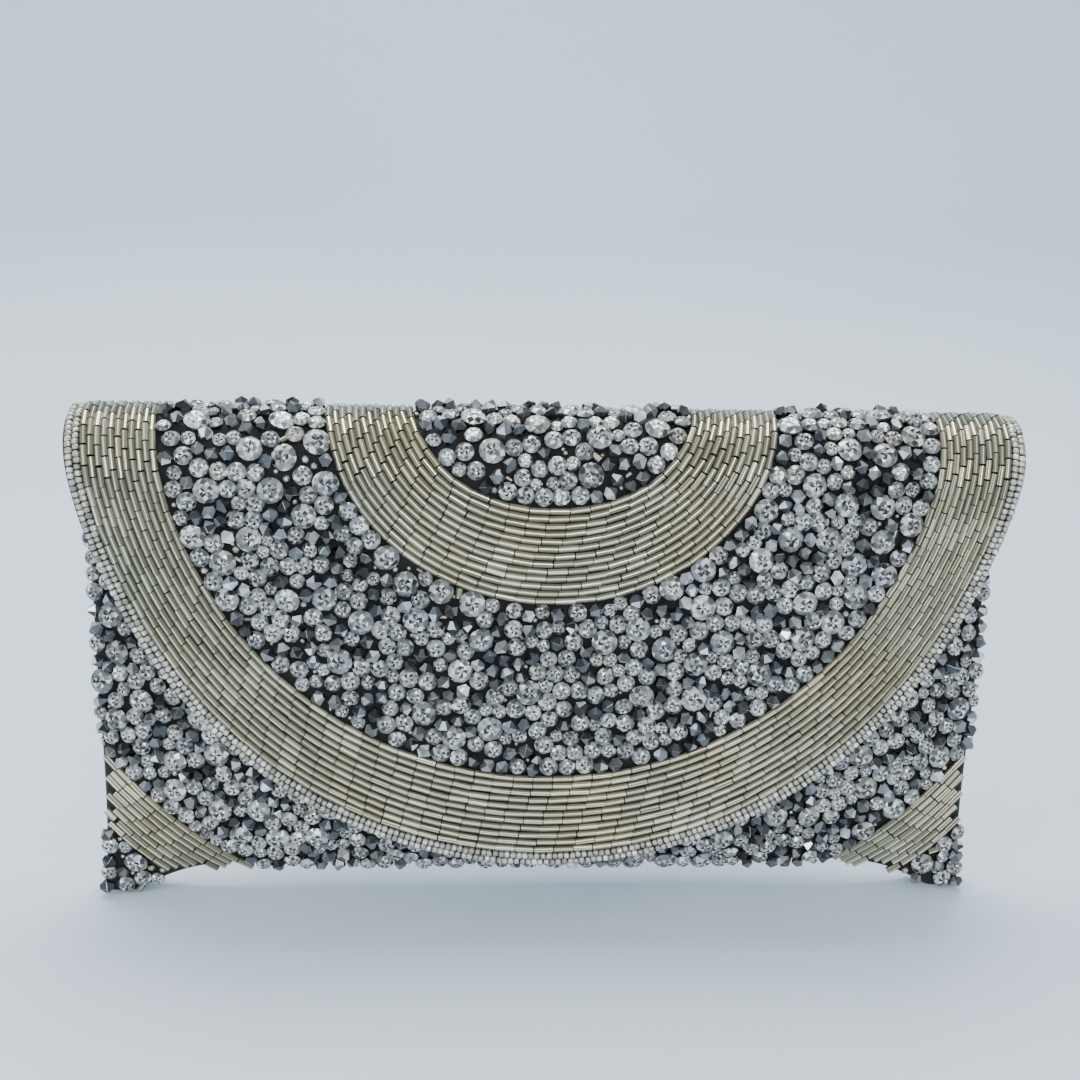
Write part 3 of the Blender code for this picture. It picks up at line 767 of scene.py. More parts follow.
def scatter(inset, low, high, seed):
    """Packs round footprints into a region until they touch, with fillers in the gaps that are left. Returns
    coordinates, radii and kinds."""
    rng = np.random.default_rng(seed)
    area = (high[0] - low[0]) * (high[1] - low[1])
    trial = rng.uniform(low, high, (20000, 2))
    area *= (inside_by(inset, trial) > 0.5).mean()
    footprint = sum(share * math.pi * ((small + big) / 2) ** 2 for share, small, big in STONES.values())
    number = int(COVER * area / footprint)
    kinds = np.concatenate([np.full(round(number * share), kind) for kind, (share, _, _) in STONES.items()])
    kinds = rng.permutation(kinds)
    radii = np.array([rng.uniform(*STONES[kind][1:]) for kind in kinds])
    spread = (rng.random(2) + np.arange(40000)[:, None] * EVEN_STEPS) % 1.0
    spread = np.array(low) + spread * (np.array(high) - low)
    spread = spread[inside_by(inset, spread) > 0.5]
    spots = spread[:len(kinds)] + rng.normal(0, 0.4, (len(kinds), 2))
    spots = push_apart(spots, radii, kinds == "large", inset)
    keep = inside_by(inset, spots) > radii * 0.6
    spots, radii, kinds = spots[keep], radii[keep], kinds[keep]
    for spot in rng.uniform(low, high, (int(area / 1.1), 2)):
        room = (np.hypot(*(spots - spot).T) - radii).min()
        radius = min(room * 1.3, 1.15)
        if radius > 0.6 and inset(*spot) > radius * 0.8:
            spots = np.vstack([spots, spot])
            radii = np.append(radii, radius)
            kinds = np.append(kinds, "filler")
    return spots[:, 0], spots[:, 1], radii, kinds


def lay_crystals(works, surface, field, seed, body_of):
    """Sews a scattered field onto a surface."""
    u, v, radius, kinds = field
    rng = np.random.default_rng(seed)
    bodies = body_of(u, v)
    for kind in ("large", "medium", "small", "bicone", "filler"):
        for body, work in works.items():
            mine = (kinds == kind) & (bodies == body)
            number = int(mine.sum())
            if not number:
                continue
            turn = rng.uniform(0, 2 * math.pi, number)
            r = radius[mine]
            stone = kind in ("large", "medium", "small")
            height = 0.35 if stone else (r * 0.85 + 0.6 if kind == "bicone" else 0.5)
            point, along, side, out = frames(surface, u[mine], v[mine], height, np.cos(turn), np.sin(turn))
            lean = 0.09 if stone else 0.30
            tip = rng.normal(0, lean, (number, 2))
            out = unit(out + along * tip[:, :1] + side * tip[:, 1:])
            along = unit(along - out * (along * out).sum(-1, keepdims=True))
            side = np.cross(out, along)
            tone = rng.normal(0, 0.06, number)
            tint = np.clip(0.5 + rng.normal(0, 0.16, number), 0.02, 0.98)
            if stone:
                size = np.stack([r, r, np.minimum(r * 0.9 + 0.3, 2.9)], -1)
                work.add("brilliant", point, along, side, out, size, tone, tint)
            elif kind == "bicone":
                roll = rng.uniform(0, math.pi / 3, number)
                along, side, out = turn_frame(along, side, out, np.zeros(number), roll)
                size = np.stack([r * 0.95, r, r], -1)
                # A tenth of the bicones are lifted as painted glints and some are darker.
                glint_draw = rng.random(number)
                tone = tone + np.where(glint_draw > 0.9, 0.35, np.where(glint_draw < 0.18, -0.22, 0.0))
                tint = np.clip(0.38 + rng.normal(0, 0.14, number), 0.02, 0.98)
                work.add("bicone", point, along, side, out, size, tone, tint)
            else:
                tube = rng.random(number) < 0.3
                size = np.stack([r, r, r * 0.95], -1)
                tint = np.clip(0.4 + rng.normal(0, 0.22, number), 0.02, 0.98)
                tone = tone - 0.06
                work.add("pebble", point[~tube], along[~tube], side[~tube], out[~tube], size[~tube],
                         tone[~tube], tint[~tube])
                size = np.stack([r * 2.4, r * 0.8, r * 0.8], -1)
                raised = point + out * (r * 0.8)[:, None]
                work.add("bugle", raised[tube], along[tube], side[tube], out[tube], size[tube],
                         tone[tube], tint[tube])


def make_flap_crystals():
    rear = -HINGE_LENGTH - 1.0
    for name, ring, hole, seed, fold_nodes, flap_node in (
        ("centre_crystal_field", CENTRE, None, 41, ["fold_centre_crystals"], "flap_centre_crystals"),
        ("crystal_field", MIDDLE, INNER, 45, ["fold_crystals_left", "fold_crystals_right"], "flap_crystals"),
    ):
        works = {"fold": Beadwork(f"{name}_over_fold", seed), "flap": Beadwork(name, seed + 1)}

        def field_inset(u, v):
            room = np.minimum(ring_inset(ring, u, v), v - rear + 1.0)
            return np.minimum(room, -ring_inset(hole, u, v)) if hole else room

        field = scatter(field_inset, (-ring[0], rear), ring, seed + 2)
        lay_crystals(works, fold_point, field, seed + 3, flap_body)
        works["fold"].make("fold", "crystal", *fold_nodes)
        works["flap"].make("flap", "crystal", flap_node)


def make_front_crystals():
    ring_z = FOLD_HEIGHT + QUARTER_LENGTH
    top = box_mm("front_crystals")[1][2]

    def panel_inset(u, v):
        low = np.maximum(base_z(u) - BASE_OVERHANG, TIP_CLEARANCE)
        return np.minimum(seam_half(v) - np.abs(u) + SIDE_OVERHANG, v - low)

    def field_inset(u, v):
        from_corners = CORNER_BAND[0] - corner_radius(u, v)
        from_ring = np.hypot(u, v - ring_z) - FRONT_RING_HALF
        return np.minimum.reduce([panel_inset(u, v), top - v + 0.5, from_corners, from_ring])

    def tip_inset(u, v):
        return np.minimum(panel_inset(u, v), corner_radius(u, v) - CORNER_BAND[1])

    half = SEAM_HALF_TOP + 1.0
    work = Beadwork("front_crystal_field", 51)
    field = scatter(field_inset, (-half, 0.0), (half, top), 52)
    lay_crystals({"pouch": work}, front_point, field, 53, pouch_body)
    work.make("pouch", "crystal", "front_crystals")
    for side, word in ((-1, "left"), (1, "right")):
        work = Beadwork(f"corner_crystal_field_{word}", 54 + side)
        low, high = sorted((side * 80.0, side * half))
        field = scatter(tip_inset, (low, 0.0), (high, 30.0), 57 + side)
        lay_crystals({"pouch": work}, front_point, field, 60 + side, pouch_body)
        work.make("pouch", "crystal", f"corner_crystals_{word}")


# Cloth finishes, in the cloth's own coordinates of 10 mm


SLUB = 0.12


def woven(name, colour, roughness, thread, sheen, bump, shine=0.0):
    """Woven cloth: crossed threads, slow unevenness in its colour, and a sheen."""
    material, shader = new_material(name, roughness, 0.0, Sheen_Weight=sheen, Sheen_Roughness=0.4,
                                    Coat_Weight=shine, Coat_Roughness=0.35)
    cloth = add_node(material, "ShaderNodeUVMap", uv_map="Cloth")
    warp = add_node(material, "ShaderNodeTexWave", Scale=thread, Distortion=0.6)
    warp.bands_direction = "X"
    weft = add_node(material, "ShaderNodeTexWave", Scale=thread * 1.35, Distortion=0.6)
    weft.bands_direction = "Y"
    for wave in (warp, weft):
        link(material, cloth.outputs[0], wave.inputs["Vector"])
    height = add_node(material, "ShaderNodeMath", operation="ADD")
    link(material, warp.outputs["Fac"], height.inputs[0])
    link(material, weft.outputs["Fac"], height.inputs[1])
    relief = add_node(material, "ShaderNodeBump", Strength=bump, Distance=0.0001)
    link(material, height.outputs[0], relief.inputs["Height"])
    link(material, relief.outputs[0], shader.inputs["Normal"])
    uneven = add_node(material, "ShaderNodeTexNoise", Scale=0.55, Detail=6.0, Roughness=0.62)
    link(material, cloth.outputs[0], uneven.inputs["Vector"])
    low = tuple(part * (1 - SLUB * 2) for part in colour)
    high = tuple(part * (1 + SLUB) for part in colour)
    tint = ramp(material, uneven.outputs[0], [(0.3, low), (0.7, high)])
    lines = ramp(material, warp.outputs["Fac"], [(0.2, (0.80, 0.80, 0.80)), (0.8, (1.0, 1.0, 1.0))])
    link(material, multiply(material, tint, lines), shader.inputs["Base Color"])
    return material


BLACK_CLOTH = woven("black_base_cloth", (0.016, 0.016, 0.017), 0.85, 9.0, 0.15, 0.5)
SATIN = woven("charcoal_satin", (0.085, 0.085, 0.092), 0.38, 14.0, 0.35, 0.18, 0.15)
LINING = woven("silver_lining_satin", (0.29, 0.285, 0.28), 0.42, 14.0, 0.3, 0.18, 0.1)
RIBBON = woven("black_ribbon", (0.020, 0.020, 0.022), 0.6, 22.0, 0.3, 0.7)
THREAD_DARK = woven("dark_thread", (0.05, 0.05, 0.054), 0.6, 30.0, 0.2, 0.2)
THREAD_PALE = woven("pale_thread", (0.42, 0.41, 0.39), 0.6, 30.0, 0.2, 0.2)
NICKEL = mottled("plated_snap", 0.24, 1.0, [(0.3, (0.50, 0.49, 0.47)), (0.7, (0.68, 0.67, 0.66))], "Cloth",
                 Scale=3.0, Detail=8.0)
WASHER_METAL = mottled("washer_metal", 0.35, 1.0, [(0.3, (0.45, 0.44, 0.42)), (0.7, (0.62, 0.61, 0.60))],
                       Scale=900.0)


def cloth_piece(name, outer, inner, span, material):
    """A closed piece between two grids of points, joined at their rims. span is their cloth coordinates."""
    rows, columns = outer.shape[:2]
    count = rows * columns
    index = np.arange(count).reshape(rows, columns)

    def quads(grid):
        return np.stack([grid[:-1, :-1], grid[:-1, 1:], grid[1:, 1:], grid[1:, :-1]], -1).reshape(-1, 4)

    rim = np.concatenate([index[0, :-1], index[:-1, -1], index[-1, :0:-1], index[:0:-1, 0]])
    after = np.roll(rim, -1)
    top = quads(index)
    side = np.stack([after, rim, rim + count, after + count], -1)
    bottom = quads(index)[:, ::-1] + count
    mid = (rows // 2, columns // 2)
    normal = np.cross(outer[mid[0], mid[1] + 1] - outer[mid], outer[mid[0] + 1, mid[1]] - outer[mid])
    faces = np.concatenate([top, side, bottom])
    if normal @ (outer[mid] - inner[mid]) < 0:
        faces = faces[:, ::-1]
    points = np.concatenate([outer.reshape(-1, 3), inner.reshape(-1, 3)])
    mesh = mesh_from(name, points, faces.reshape(-1), np.full(len(faces), 4))
    mesh.shade_smooth()
    cloth = np.concatenate([span.reshape(-1, 2)] * 2)
    low, size = cloth.min(axis=0), np.ptp(cloth, axis=0).max()
    unit_square = (cloth - low) / size * 0.48 + 0.01
    unit_square[count:, 1] += 0.50
    corner = corner_vertices(mesh)
    add_uv(mesh, "OFBake", unit_square[corner])
    add_uv(mesh, "Cloth", (cloth / 10.0)[corner])
    mesh.materials.append(material)
    return mesh


# Panels of the pouch

PANEL_THICKNESS = 2.5
FLOOR_GAP = 0.03
ROLL = [(0.45, -0.25), (0.80, -0.80), (0.98, -1.60), (0.95, -2.45)]


def panel_grid(z_low, z_high, inset, rows, columns):
    """x and z over a panel between its seams, and each point's distance up and across it."""
    side = np.sin(np.linspace(-1, 1, columns) * math.pi / 2) * 0.5 + np.linspace(-1, 1, columns) * 0.5
    up = np.linspace(0, 1, rows)[:, None] ** 1.15
    z = base_z(side * SEAM_HALF_BASE) + z_low
    z = z + (z_high - z) * up
    return side * (seam_half(z) - inset), z


def rolled(x, z, heights):
    """Adds the seam's roll round the left, right and bottom of a panel's grid. Returns x, z, heights, and how
    far each point lies outside the panel."""
    extra = len(ROLL)
    pad = ((extra, 0), (extra, extra))
    x, z, heights = (np.pad(grid, pad, mode="edge") for grid in (x, z, heights))
    rows, columns = x.shape
    row = np.clip(extra - np.arange(rows), 0, extra)[:, None]
    left = np.clip(extra - np.arange(columns), 0, extra)
    right = left[::-1]
    steps = np.array([(0.0, 0.0)] + ROLL)
    down = np.broadcast_to(steps[row, 0], x.shape)
    across_out = np.broadcast_to(steps[right, 0] - steps[left, 0], x.shape)
    fall = np.minimum(steps[row, 1], np.minimum(steps[left, 1], steps[right, 1]))
    return x, z, heights + fall, across_out, down


def creases(x, z, seed, size):
    """Soft rises and dips of a stuffed panel: broad waves, pulls from the bottom corners and seam puckers."""
    spots = np.stack([x, z, np.full(x.shape, seed * 10.0)], -1).reshape(-1, 3)
    broad = np.array([noise.noise(Vector((spot[0] / 45, spot[1] / 28, spot[2]))) for spot in spots])
    fine = np.array([noise.noise(Vector((spot[0] / 11, spot[1] / 7, spot[2]))) for spot in spots])
    pulls = np.zeros(x.shape)
    for side in (-1, 1):
        dx, dz = side * 120 - x, z - 4
        turn = np.arctan2(dz, side * dx)
        away = np.hypot(dx, dz)
        pulls += np.sin(turn * 17 + side) * np.exp(-away / 38) * smooth(away / 14)
    from_side = seam_half(z) - np.abs(x)
    from_base = z - base_z(x)
    pucker = (np.sin(z * 1.05 + 2 * np.sin(z / 9)) * np.exp(-from_side / 5)
              + np.sin(x * 1.0 + 2 * np.sin(x / 13)) * np.exp(-from_base / 5))
    return size * (0.9 * broad.reshape(x.shape) + 0.22 * fine.reshape(x.shape) + 0.6 * pulls + 0.28 * pucker)


def make_panels():
    back_top = FOLD_HEIGHT + QUARTER_LENGTH - HINGE_LENGTH - 0.3
    for side, surface, top, material, slot, size, body in (
        ("front", front_point, FRONT_TOP, BLACK_CLOTH, "black_cloth", 0.0, "pouch"),
        ("back", back_point, back_top, SATIN, "back_satin", 0.75, REAR_BEND),
    ):
        x, z = panel_grid(0.0, top, 0.0, 110, 170)
        lift = creases(x, z, 3.0, size) * smooth((top - z) / 22) if size else np.zeros(x.shape)
        gx, gz, heights, out, down = rolled(x, z, lift)
        outer = surface(gx, gz, heights) + np.stack([out, np.zeros(out.shape), -down], -1)
        outer[..., 2] = np.maximum(outer[..., 2], FLOOR_GAP)
        inner = surface(gx, gz, np.full(gx.shape, -PANEL_THICKNESS))
        span = np.stack([gx + out, gz - down], -1)
        mesh = cloth_piece(f"{side}_panel", outer, inner, span, material)
        place(mesh, body, (f"{side}_cloth", f"{side}_board"))


# Base cloth of the fold and the flap

FLAP_ROLL = [(0.30, -0.15), (0.62, -0.60), (0.80, -1.30), (0.80, -2.10), (0.62, -2.85), (0.30, -3.35),
             (-0.4, -3.62), (-2.0, -3.66), (-3.6, -3.64), (-3.8, -3.50)]


def make_fold_cloth():
    length = np.linspace(-HINGE_LENGTH - 0.3, 0.0, 26)[:, None]
    side = np.linspace(-1, 1, 120)
    steps = np.array(FLAP_ROLL)
    left = np.stack([-FOLD_HALF_LENGTH - steps[::-1, 0], steps[::-1, 1]], -1)
    middle = np.stack([side * FOLD_HALF_LENGTH, np.zeros(len(side))], -1)
    right = np.stack([FOLD_HALF_LENGTH + steps[:, 0], steps[:, 1]], -1)
    profile = np.concatenate([left, middle, right])
    x = np.broadcast_to(profile[:, 0], (len(length), len(profile)))
    heights = np.broadcast_to(profile[:, 1], x.shape)
    lengths = np.broadcast_to(length, x.shape)
    outer = fold_point(x, lengths, heights)
    inner = fold_point(np.clip(x, -FOLD_HALF_LENGTH + 0.3, FOLD_HALF_LENGTH - 0.3), lengths,
                       np.maximum(heights, -1.9) * 0.5 - 1.0)
    span = np.stack([x, lengths], -1)
    mesh = cloth_piece("fold_base_cloth", outer, inner, span, BLACK_CLOTH)
    place(mesh, REAR_BEND, ("fold_cloth", "fold_board"))


def half_disc(half, depth, rings, spokes, lowest=1e-5):
    """x and length over a half disc in rings about its middle, with the outward direction at its rim."""
    scale = np.linspace(lowest, 1.0, rings)[:, None] ** 0.8
    turn = np.linspace(0.0, math.pi, spokes)
    out = unit(np.stack([-np.cos(turn) / half, np.sin(turn) / depth], -1))
    return -half * scale * np.cos(turn), depth * scale * np.sin(turn), out


def make_flap_cloth():
    half, depth = EDGE
    x, length, out = half_disc(half, depth, 46, 220)
    heights = np.zeros(x.shape)
    steps = np.array(FLAP_ROLL)
    x = np.concatenate([x, -half * np.cos(np.linspace(0, math.pi, 220)) + steps[:, :1] * out[:, 0]])
    rim = depth * np.sin(np.linspace(0, math.pi, 220)) + steps[:, :1] * out[:, 1]
    length = np.maximum(np.concatenate([length, rim]), 0.0)
    heights = np.concatenate([heights, np.broadcast_to(steps[:, 1:], rim.shape)])
    outer = fold_point(x, length, heights)
    inner = fold_point(x * 0.995, length * 0.995, np.maximum(heights, -1.9) * 0.5 - 1.0)
    mesh = cloth_piece("flap_base_cloth", outer, inner, np.stack([x, length], -1), BLACK_CLOTH)
    place(mesh, FRONT_BEND, ("flap_cloth", "flap_board"))


# Linings, slip pocket and binding


LINING_INSET = 12.0
LINING_RIM = 1.5
LINING_HEIGHT = -3.5
LINING_THICKNESS = 0.45
TAPE_WIDTH = 5.3


def lay_lining(name, surface, x, z, ripple, body, *nodes):
    """A lining on the inside of a surface."""
    height = LINING_HEIGHT
    inner = surface(x, z, height + ripple)
    outer = surface(x, z, height + LINING_THICKNESS + ripple)
    return place(cloth_piece(name, inner, outer, np.stack([x, z], -1), LINING), body, nodes)


def make_linings():
    x, z = panel_grid(LINING_INSET, FRONT_TOP, LINING_INSET, 60, 110)
    ripple = 0.5 * creases(x, z, 5.0, 0.6)
    piece = lay_lining("front_lining_sheet", front_point, x, z, ripple, "pouch", "front_lining")

    x, z = panel_grid(LINING_INSET, FOLD_HEIGHT, LINING_INSET, 60, 110)
    ripple = 0.5 * creases(x, z, 6.0, 0.6) * smooth((FOLD_HEIGHT - z) / 20)
    over = np.linspace(0.0, QUARTER_LENGTH, 22)[1:, None]
    half = SEAM_HALF_TOP - LINING_INSET
    widen = half + (FOLD_HALF_LENGTH - LINING_RIM - half) * smooth(over / QUARTER_LENGTH)
    x = np.concatenate([x, x[-1] / x[-1].max() * widen])
    z = np.concatenate([z, np.broadcast_to(FOLD_HEIGHT + over, (len(over), z.shape[1]))])
    ripple = np.concatenate([ripple, np.zeros((len(over), z.shape[1]))])
    piece = lay_lining("back_lining_sheet", back_point, x, z, ripple, REAR_BEND, "back_lining", "fold_lining")

    half, depth = EDGE
    x, length, _ = half_disc(half - LINING_RIM, depth - LINING_RIM, 46, 160)
    away = 1 - np.hypot(x / half, length / depth)
    ripple = 0.25 * creases(x, 120 - length, 7.0, 0.5) * smooth(length / 30) * smooth(away / 0.08)
    piece = lay_lining("flap_lining_sheet", fold_point, x, length, ripple, FRONT_BEND, "flap_lining")


def make_slip_pocket():
    low, high = box_mm("slip_pocket")
    x = np.linspace(low[0], high[0], 70)
    z = np.linspace(low[2], high[2], 40)[:, None]
    x, z = np.broadcast_arrays(x, z)
    up = (z - low[2]) / (high[2] - low[2])
    slack = smooth(up / 0.9) * np.cos(x / high[0] * math.pi / 2) ** 0.8
    sag = high[2] - 1.6 * np.cos(x / high[0] * math.pi / 2)
    z = low[2] + (sag - low[2]) * up
    hem = 0.35 * (up > 0.88) * (up < 0.985)
    height = -4.1 - 0.7 * slack - hem - 0.25 * creases(x, z, 8.0, 0.5)
    inner = back_point(x, z, height - 0.45)
    outer = back_point(x, z, height)
    mesh = cloth_piece("slip_pocket_sheet", inner, outer, np.stack([x, z], -1), LINING)
    piece = place(mesh, "pouch", ("slip_pocket",))


def make_mouth_binding():
    """A ribbon folded over the front panel's top edge."""
    low, high = box_mm("mouth_binding")
    half = high[0]
    foot, top = low[2], FRONT_TOP
    profile = [(0.15, foot), (0.55, foot + 0.15), (0.62, foot + 0.9), (0.58, top - 1.2), (0.50, top + 0.3),
               (0.1, top + 0.75), (-0.9, top + 0.95), (-2.4, top + 0.95), (-3.5, top + 0.7),
               (-4.2, top + 0.1), (-4.4, top - 1.2), (-4.45, foot + 0.9), (-4.35, foot + 0.15), (-3.95, foot)]
    heights = np.array([height for height, _ in profile])[:, None]
    z = np.array([z for _, z in profile])[:, None]
    x = np.linspace(-half, half, 150)
    turn = np.stack([np.gradient(z[:, 0]), -np.gradient(heights[:, 0])], -1)
    turn /= np.linalg.norm(turn, axis=1, keepdims=True)
    inward = np.array([-1.9, FRONT_TOP - 1.0]) - np.stack([heights[:, 0], z[:, 0]], -1)
    turn *= np.sign((turn * inward).sum(axis=1, keepdims=True))
    drift = (0.06 * np.sin(x * 0.9) + 0.05 * np.sin(x * 0.37 + 1)) * np.sign(heights + 1.9)

    def ribbon_face(step):
        rise = heights + turn[:, :1] * step
        up = z + turn[:, 1:] * step + 0.0 * x
        face = front_point(x, np.minimum(up, FRONT_TOP), rise + drift)
        face[..., 2] = up
        return face

    run = np.concatenate([[0.0], np.cumsum(np.hypot(np.diff(heights[:, 0]), np.diff(z[:, 0])))])[:, None]
    span = np.stack(np.broadcast_arrays(x, run), -1)
    mesh = cloth_piece("mouth_ribbon", ribbon_face(0.0), ribbon_face(0.4), span, RIBBON)
    piece = place(mesh, "pouch", ("mouth_binding",))


def make_seam_tape():
    """A cotton tape down one side seam, along the bottom and up the other, between the two panels."""
    z = np.linspace(FRONT_TOP - 2.0, 0.3, 60)
    half = seam_half(z)
    side = np.stack([-half, z, TAPE_WIDTH - half, np.maximum(z, TAPE_WIDTH)], -1)
    x = np.linspace(-SEAM_HALF_BASE, SEAM_HALF_BASE, 200)[1:-1]
    near = np.clip(x, TAPE_WIDTH - SEAM_HALF_BASE, SEAM_HALF_BASE - TAPE_WIDTH)
    base = np.stack([x, base_z(x) + 0.3, near, base_z(near) + TAPE_WIDTH], -1)
    path = np.concatenate([side, base, (side * (-1, 1, -1, 1))[::-1]])
    share = np.linspace(0, 1, 5)
    x = path[:, :1] + (path[:, 2:3] - path[:, :1]) * share
    z = path[:, 1:2] + (path[:, 3:] - path[:, 1:2]) * share
    middle = seam_y(z) * (1 - across(x, z)) + 0.04 * np.sin(x * 1.7 + z * 1.3)
    run = np.concatenate([[0.0], np.cumsum(np.hypot(*np.diff(path[:, :2], axis=0).T))])
    span = np.stack(np.broadcast_arrays(run[:, None], share * TAPE_WIDTH), -1)
    faces = (stand(x, middle - 0.2, z), stand(x, middle + 0.2, z))
    mesh = cloth_piece("seam_tape_strip", *faces, span, RIBBON)
    place(mesh, "pouch", ("seam_tape",))


# Stitches


def stitch_shape():
    shape = Shape((0, 0, 0))
    angles = [2 * math.pi * k / 6 for k in range(6)]
    rings = tube_rings(shape, [(-0.5, 0.35), (-0.36, 1.0), (0.36, 1.0), (0.5, 0.35)], angles)
    sleeve(shape, rings, (0.5, 0.5, 0.5), 0.0, True)
    shape.face(rings[0], 0.5, 0.0)
    shape.face(rings[-1], 0.5, 0.0)
    return shape.done()


SHAPES["stitch"] = stitch_shape()
STITCH_LENGTH = 2.1
STITCH_PITCH = 2.9
STITCH_RADIUS = 0.17
STITCH_INSET = 2.6


def sew(name, surface, path, height, material, body, slot):
    """A line of stitches along a path."""
    rng = np.random.default_rng(len(name))
    u, v, du, dv, _ = beads_along(surface, path, height, STITCH_PITCH, STITCH_PITCH, rng, 0.05)
    point, along, side, out = frames(surface, u, v, height, du, dv)
    number = len(point)
    along, side, out = turn_frame(along, side, out, rng.normal(0, 0.04, number), np.zeros(number))
    work = Beadwork(name, 5)
    size = np.tile([STITCH_LENGTH, STITCH_RADIUS, STITCH_RADIUS], (number, 1))
    work.add("stitch", point, along, side, out, size, np.zeros(number), np.full(number, 0.5), material)
    work.make(body, slot, woven_finish=True)


def make_stitches():
    z = np.linspace(FOLD_HEIGHT - 4, 12.0, 120)
    left = np.stack([-(seam_half(z) - STITCH_INSET), z])
    x = np.linspace(-SEAM_HALF_BASE + 9, SEAM_HALF_BASE - 9, 240)
    base = np.stack([x, base_z(x) + STITCH_INSET])
    corner = np.linspace(0, 1, 12)[1:-1]
    last, first = left[:, -1], base[:, 0]
    bend = np.stack([last[0] + (first[0] - last[0]) * corner, last[1] + (first[1] - last[1]) * corner ** 2])
    mirror = np.array([[-1], [1]])
    path = np.concatenate([left, bend, base, (bend * mirror)[:, ::-1], (left * mirror)[:, ::-1]], axis=1)
    sew("back_seam_stitches", back_point, tuple(path), 0.05, THREAD_DARK, "pouch", "back_satin")
    low, high = box_mm("slip_pocket")
    z = np.linspace(high[2] - 2, low[2] + 2, 40)
    x = np.linspace(low[0] + 2, high[0] - 2, 60)
    path = np.concatenate([np.stack([np.full(40, low[0] + 2), z]), np.stack([x, np.full(60, low[2] + 2)]),
                           np.stack([np.full(40, high[0] - 2), z[::-1]])], axis=1)
    sew("slip_pocket_stitches", back_point, tuple(path), -4.75, THREAD_PALE, "pouch", "lining_satin")
    half, depth = EDGE
    turn = np.linspace(0.12, math.pi - 0.12, 300)
    path = (-(half - STITCH_INSET) * np.cos(turn), (depth - STITCH_INSET) * np.sin(turn))
    sew("flap_edge_stitches", fold_point, path, -3.75, THREAD_DARK, FRONT_BEND, "black_cloth")
    path = (np.linspace(-110, 110, 200), np.full(200, box_mm("mouth_binding")[0][2] + 1.4))
    for name, height in (("mouth_stitches_front", 0.66), ("mouth_stitches_back", -4.5)):
        sew(name, front_point, path, height, THREAD_DARK, "pouch", "black_cloth")


# Magnetic snap

SNAP_HEIGHT = 56.0
SNAP_GAP = 0.4


def lathe(name, profile, centre, facing, material, steps=64):
    """A piece turned about the axis square to the leaning panels. The profile is radius and distance."""
    profile = np.array(profile)
    turn = np.linspace(0, 2 * math.pi, steps, endpoint=False)
    lean = math.atan(LEAN)
    c, s = math.cos(lean), math.sin(lean)
    rows = []
    for radius, distance in profile:
        x, y, z = radius * np.cos(turn), np.full(steps, distance * facing), radius * np.sin(turn)
        rows.append(np.stack([x, y * c + z * s, z * c - y * s], -1))
    points = np.concatenate(rows) + stand(*centre)
    index = np.arange(len(points)).reshape(len(profile), steps)
    after = np.roll(index, -1, axis=1)
    quads = np.stack([index[:-1], after[:-1], after[1:], index[1:]], -1).reshape(-1, 4)
    if facing > 0:
        quads = quads[:, ::-1]
    mesh = mesh_from(name, points, quads.reshape(-1), np.full(len(quads), 4))
    mesh.shade_smooth()
    mesh.set_sharp_from_angle(angle=math.radians(35))
    run = np.concatenate([[0.0], np.cumsum(np.hypot(*np.diff(profile, axis=0).T))])
    round_it, down_it = np.linspace(0.02, 0.98, steps), run[:, None] / run[-1] * 0.96 + 0.02
    corner = corner_vertices(mesh)
    add_uv(mesh, "OFBake", np.stack(np.broadcast_arrays(round_it, down_it), -1).reshape(-1, 2)[corner])
    add_uv(mesh, "Cloth", points[corner][:, [0, 2]] / 10.0)
    mesh.materials.append(material)
    return mesh


def make_snap():
    z = SNAP_HEIGHT
    upright = FOLD_Y + LEAN * z
    socket_y = front_point(np.array(0.0), np.array(z), np.array(0.0))[1] - upright - SNAP_GAP
    socket = [(0.01, 0.0), (7.6, 0.0), (7.95, 0.25), (8.0, 0.7), (7.95, 1.15), (7.6, 1.5), (7.1, 1.6),
              (6.6, 1.55), (6.4, 1.4), (6.15, 1.4), (5.95, 1.55), (4.2, 1.6), (3.6, 1.55), (3.4, 1.3),
              (3.35, 0.7), (3.1, 0.6), (0.01, 0.55)]
    mesh = lathe("snap_socket_plate", socket, (0.0, socket_y, z), -1, NICKEL)
    place(mesh, "pouch", ("snap_socket",))
    length = FOLD_HEIGHT + QUARTER_LENGTH - z
    lining_y = fold_point(np.array(0.0), np.array(length), np.array(LINING_HEIGHT))[1] - upright
    reach = (socket_y - 2.0) - lining_y - SNAP_GAP
    stud = [(0.01, 0.0), (6.6, 0.0), (6.95, 0.15), (7.0, reach * 0.5), (6.95, reach - 0.2),
            (6.6, reach - 0.02), (6.1, reach), (5.4, reach - 0.05), (5.2, reach - 0.15),
            (5.0, reach - 0.05), (2.8, reach), (2.5, reach + 0.1), (2.45, reach + 0.65),
            (2.2, reach + 0.8), (0.01, reach + 0.8)]
    mesh = lathe("snap_stud_plate", stud, (0.0, lining_y + SNAP_GAP, z), 1, NICKEL)
    place(mesh, "flap", ("snap_stud",))


def finish_washers():
    """The snap's two washers keep their own shape and get their own metal."""
    for node in ("snap_socket_washer", "snap_stud_washer"):
        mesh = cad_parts[node].data
        mesh.materials.clear()
        mesh.materials.append(WASHER_METAL)


# Floor, wall, lights and camera


PAINT = (0.66, 0.765, 0.85)


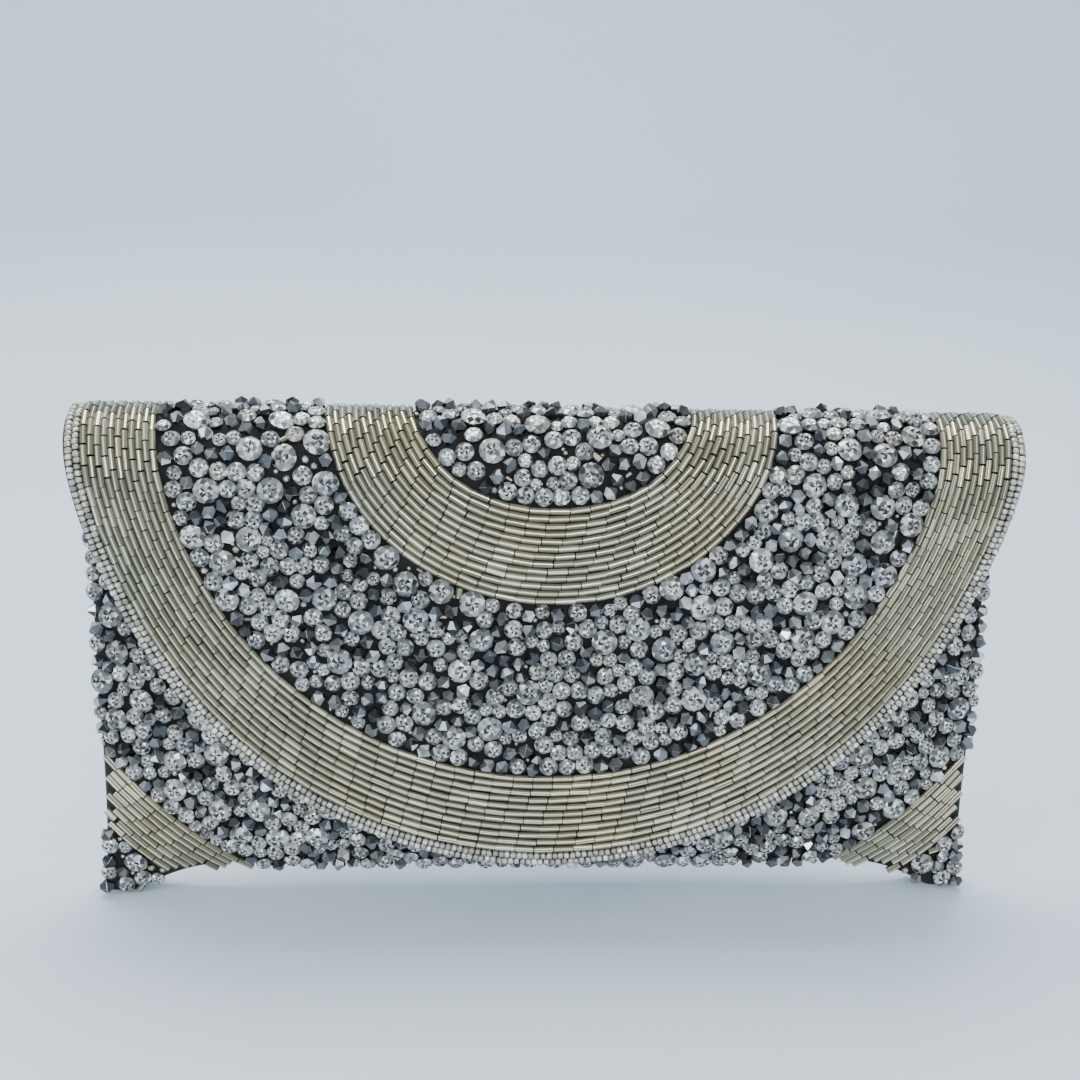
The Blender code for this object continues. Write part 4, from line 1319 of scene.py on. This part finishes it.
def make_stage():
    """A shelf top that sweeps up into a wall behind the purse."""
    profile = [(-1.6, 0.0), (-0.4, 0.0), (0.1, 0.0), (0.9, 0.0)]
    bend = 0.3
    profile += [(0.9 + bend * math.sin(turn), bend - bend * math.cos(turn))
                for turn in np.linspace(0, math.pi / 2, 13)[1:]]
    profile += [(1.2, 0.8), (1.2, 2.4)]
    rows = np.array([[(x, y, z) for x in (-2.4, -0.8, 0.8, 2.4)] for y, z in profile])
    count, width = rows.shape[:2]
    first = np.arange(count * width).reshape(count, width)
    quads = np.stack([first[:-1, :-1], first[:-1, 1:], first[1:, 1:], first[1:, :-1]], -1).reshape(-1)
    mesh = mesh_from("floor", rows.reshape(-1, 3) / MM, quads, np.full((count - 1) * (width - 1), 4))
    mesh.shade_smooth()
    shaded = tuple(0.95 * part for part in PAINT)
    stops = [(0.35, shaded), (0.65, PAINT)]
    mesh.materials.append(mottled("pale_paint", 0.6, 0.0, stops, Scale=9.0, Detail=6.0))
    floor = bpy.data.objects.new("floor", mesh)
    bpy.context.scene.collection.objects.link(floor)


def add_light(name, spot, aim, size, power, colour=(1.0, 1.0, 1.0)):
    data = bpy.data.lights.new(name, "AREA")
    data.shape = "RECTANGLE"
    data.size, data.size_y = size
    data.energy = power
    data.color = colour
    lamp = bpy.data.objects.new(name, data)
    lamp.location = spot
    lamp.rotation_euler = (Vector(aim) - Vector(spot)).to_track_quat("-Z", "Y").to_euler()
    bpy.context.scene.collection.objects.link(lamp)


def make_lights():
    world = bpy.data.worlds.new("studio")
    bpy.context.scene.world = world
    world.use_nodes = True
    back = world.node_tree.nodes["Background"]
    back.inputs[0].default_value = (0.78, 0.875, 0.98, 1)
    back.inputs[1].default_value = 0.98
    add_light("ceiling", (-0.05, 0.40, 1.05), (0, -0.05, 0.0), (0.9, 0.5), 15.0, (1.0, 0.98, 0.95))
    add_light("window_left", (-1.1, -0.7, 0.7), (0, 0, 0.07), (0.4, 0.7), 6.0, (0.92, 0.96, 1.0))
    add_light("lamp_front", (0.1, -1.3, 0.80), (0, 0, 0.07), (0.7, 0.5), 9.5)


def make_camera():
    yaw, pitch, roll = (math.radians(angle) for angle in (4.25, 22.59, 2.11))
    ahead = Vector((math.sin(yaw), math.cos(yaw), 0))
    right = Vector((math.cos(yaw), -math.sin(yaw), 0))
    up = Vector((0, 0, 1))
    forward = ahead * math.cos(pitch) - up * math.sin(pitch)
    upward = up * math.cos(pitch) + ahead * math.sin(pitch)
    across_view = right * math.cos(roll) + upward * math.sin(roll)
    upward = upward * math.cos(roll) - right * math.sin(roll)
    data = bpy.data.cameras.new("camera")
    data.lens = 53.24
    data.sensor_width = 36.0
    camera = bpy.data.objects.new("camera", data)
    matrix = Matrix((across_view, upward, -forward)).transposed().to_4x4()
    matrix.translation = (-0.0318, -0.3888, 0.2676)
    camera.matrix_world = matrix
    bpy.context.scene.collection.objects.link(camera)
    bpy.context.scene.camera = camera


make_panels()
make_fold_cloth()
make_flap_cloth()
make_linings()
make_slip_pocket()
make_mouth_binding()
make_seam_tape()
make_stitches()
make_snap()
finish_washers()
make_bands()
make_seed_edge()
make_flap_crystals()
make_front_crystals()
make_stage()
make_lights()
make_camera()
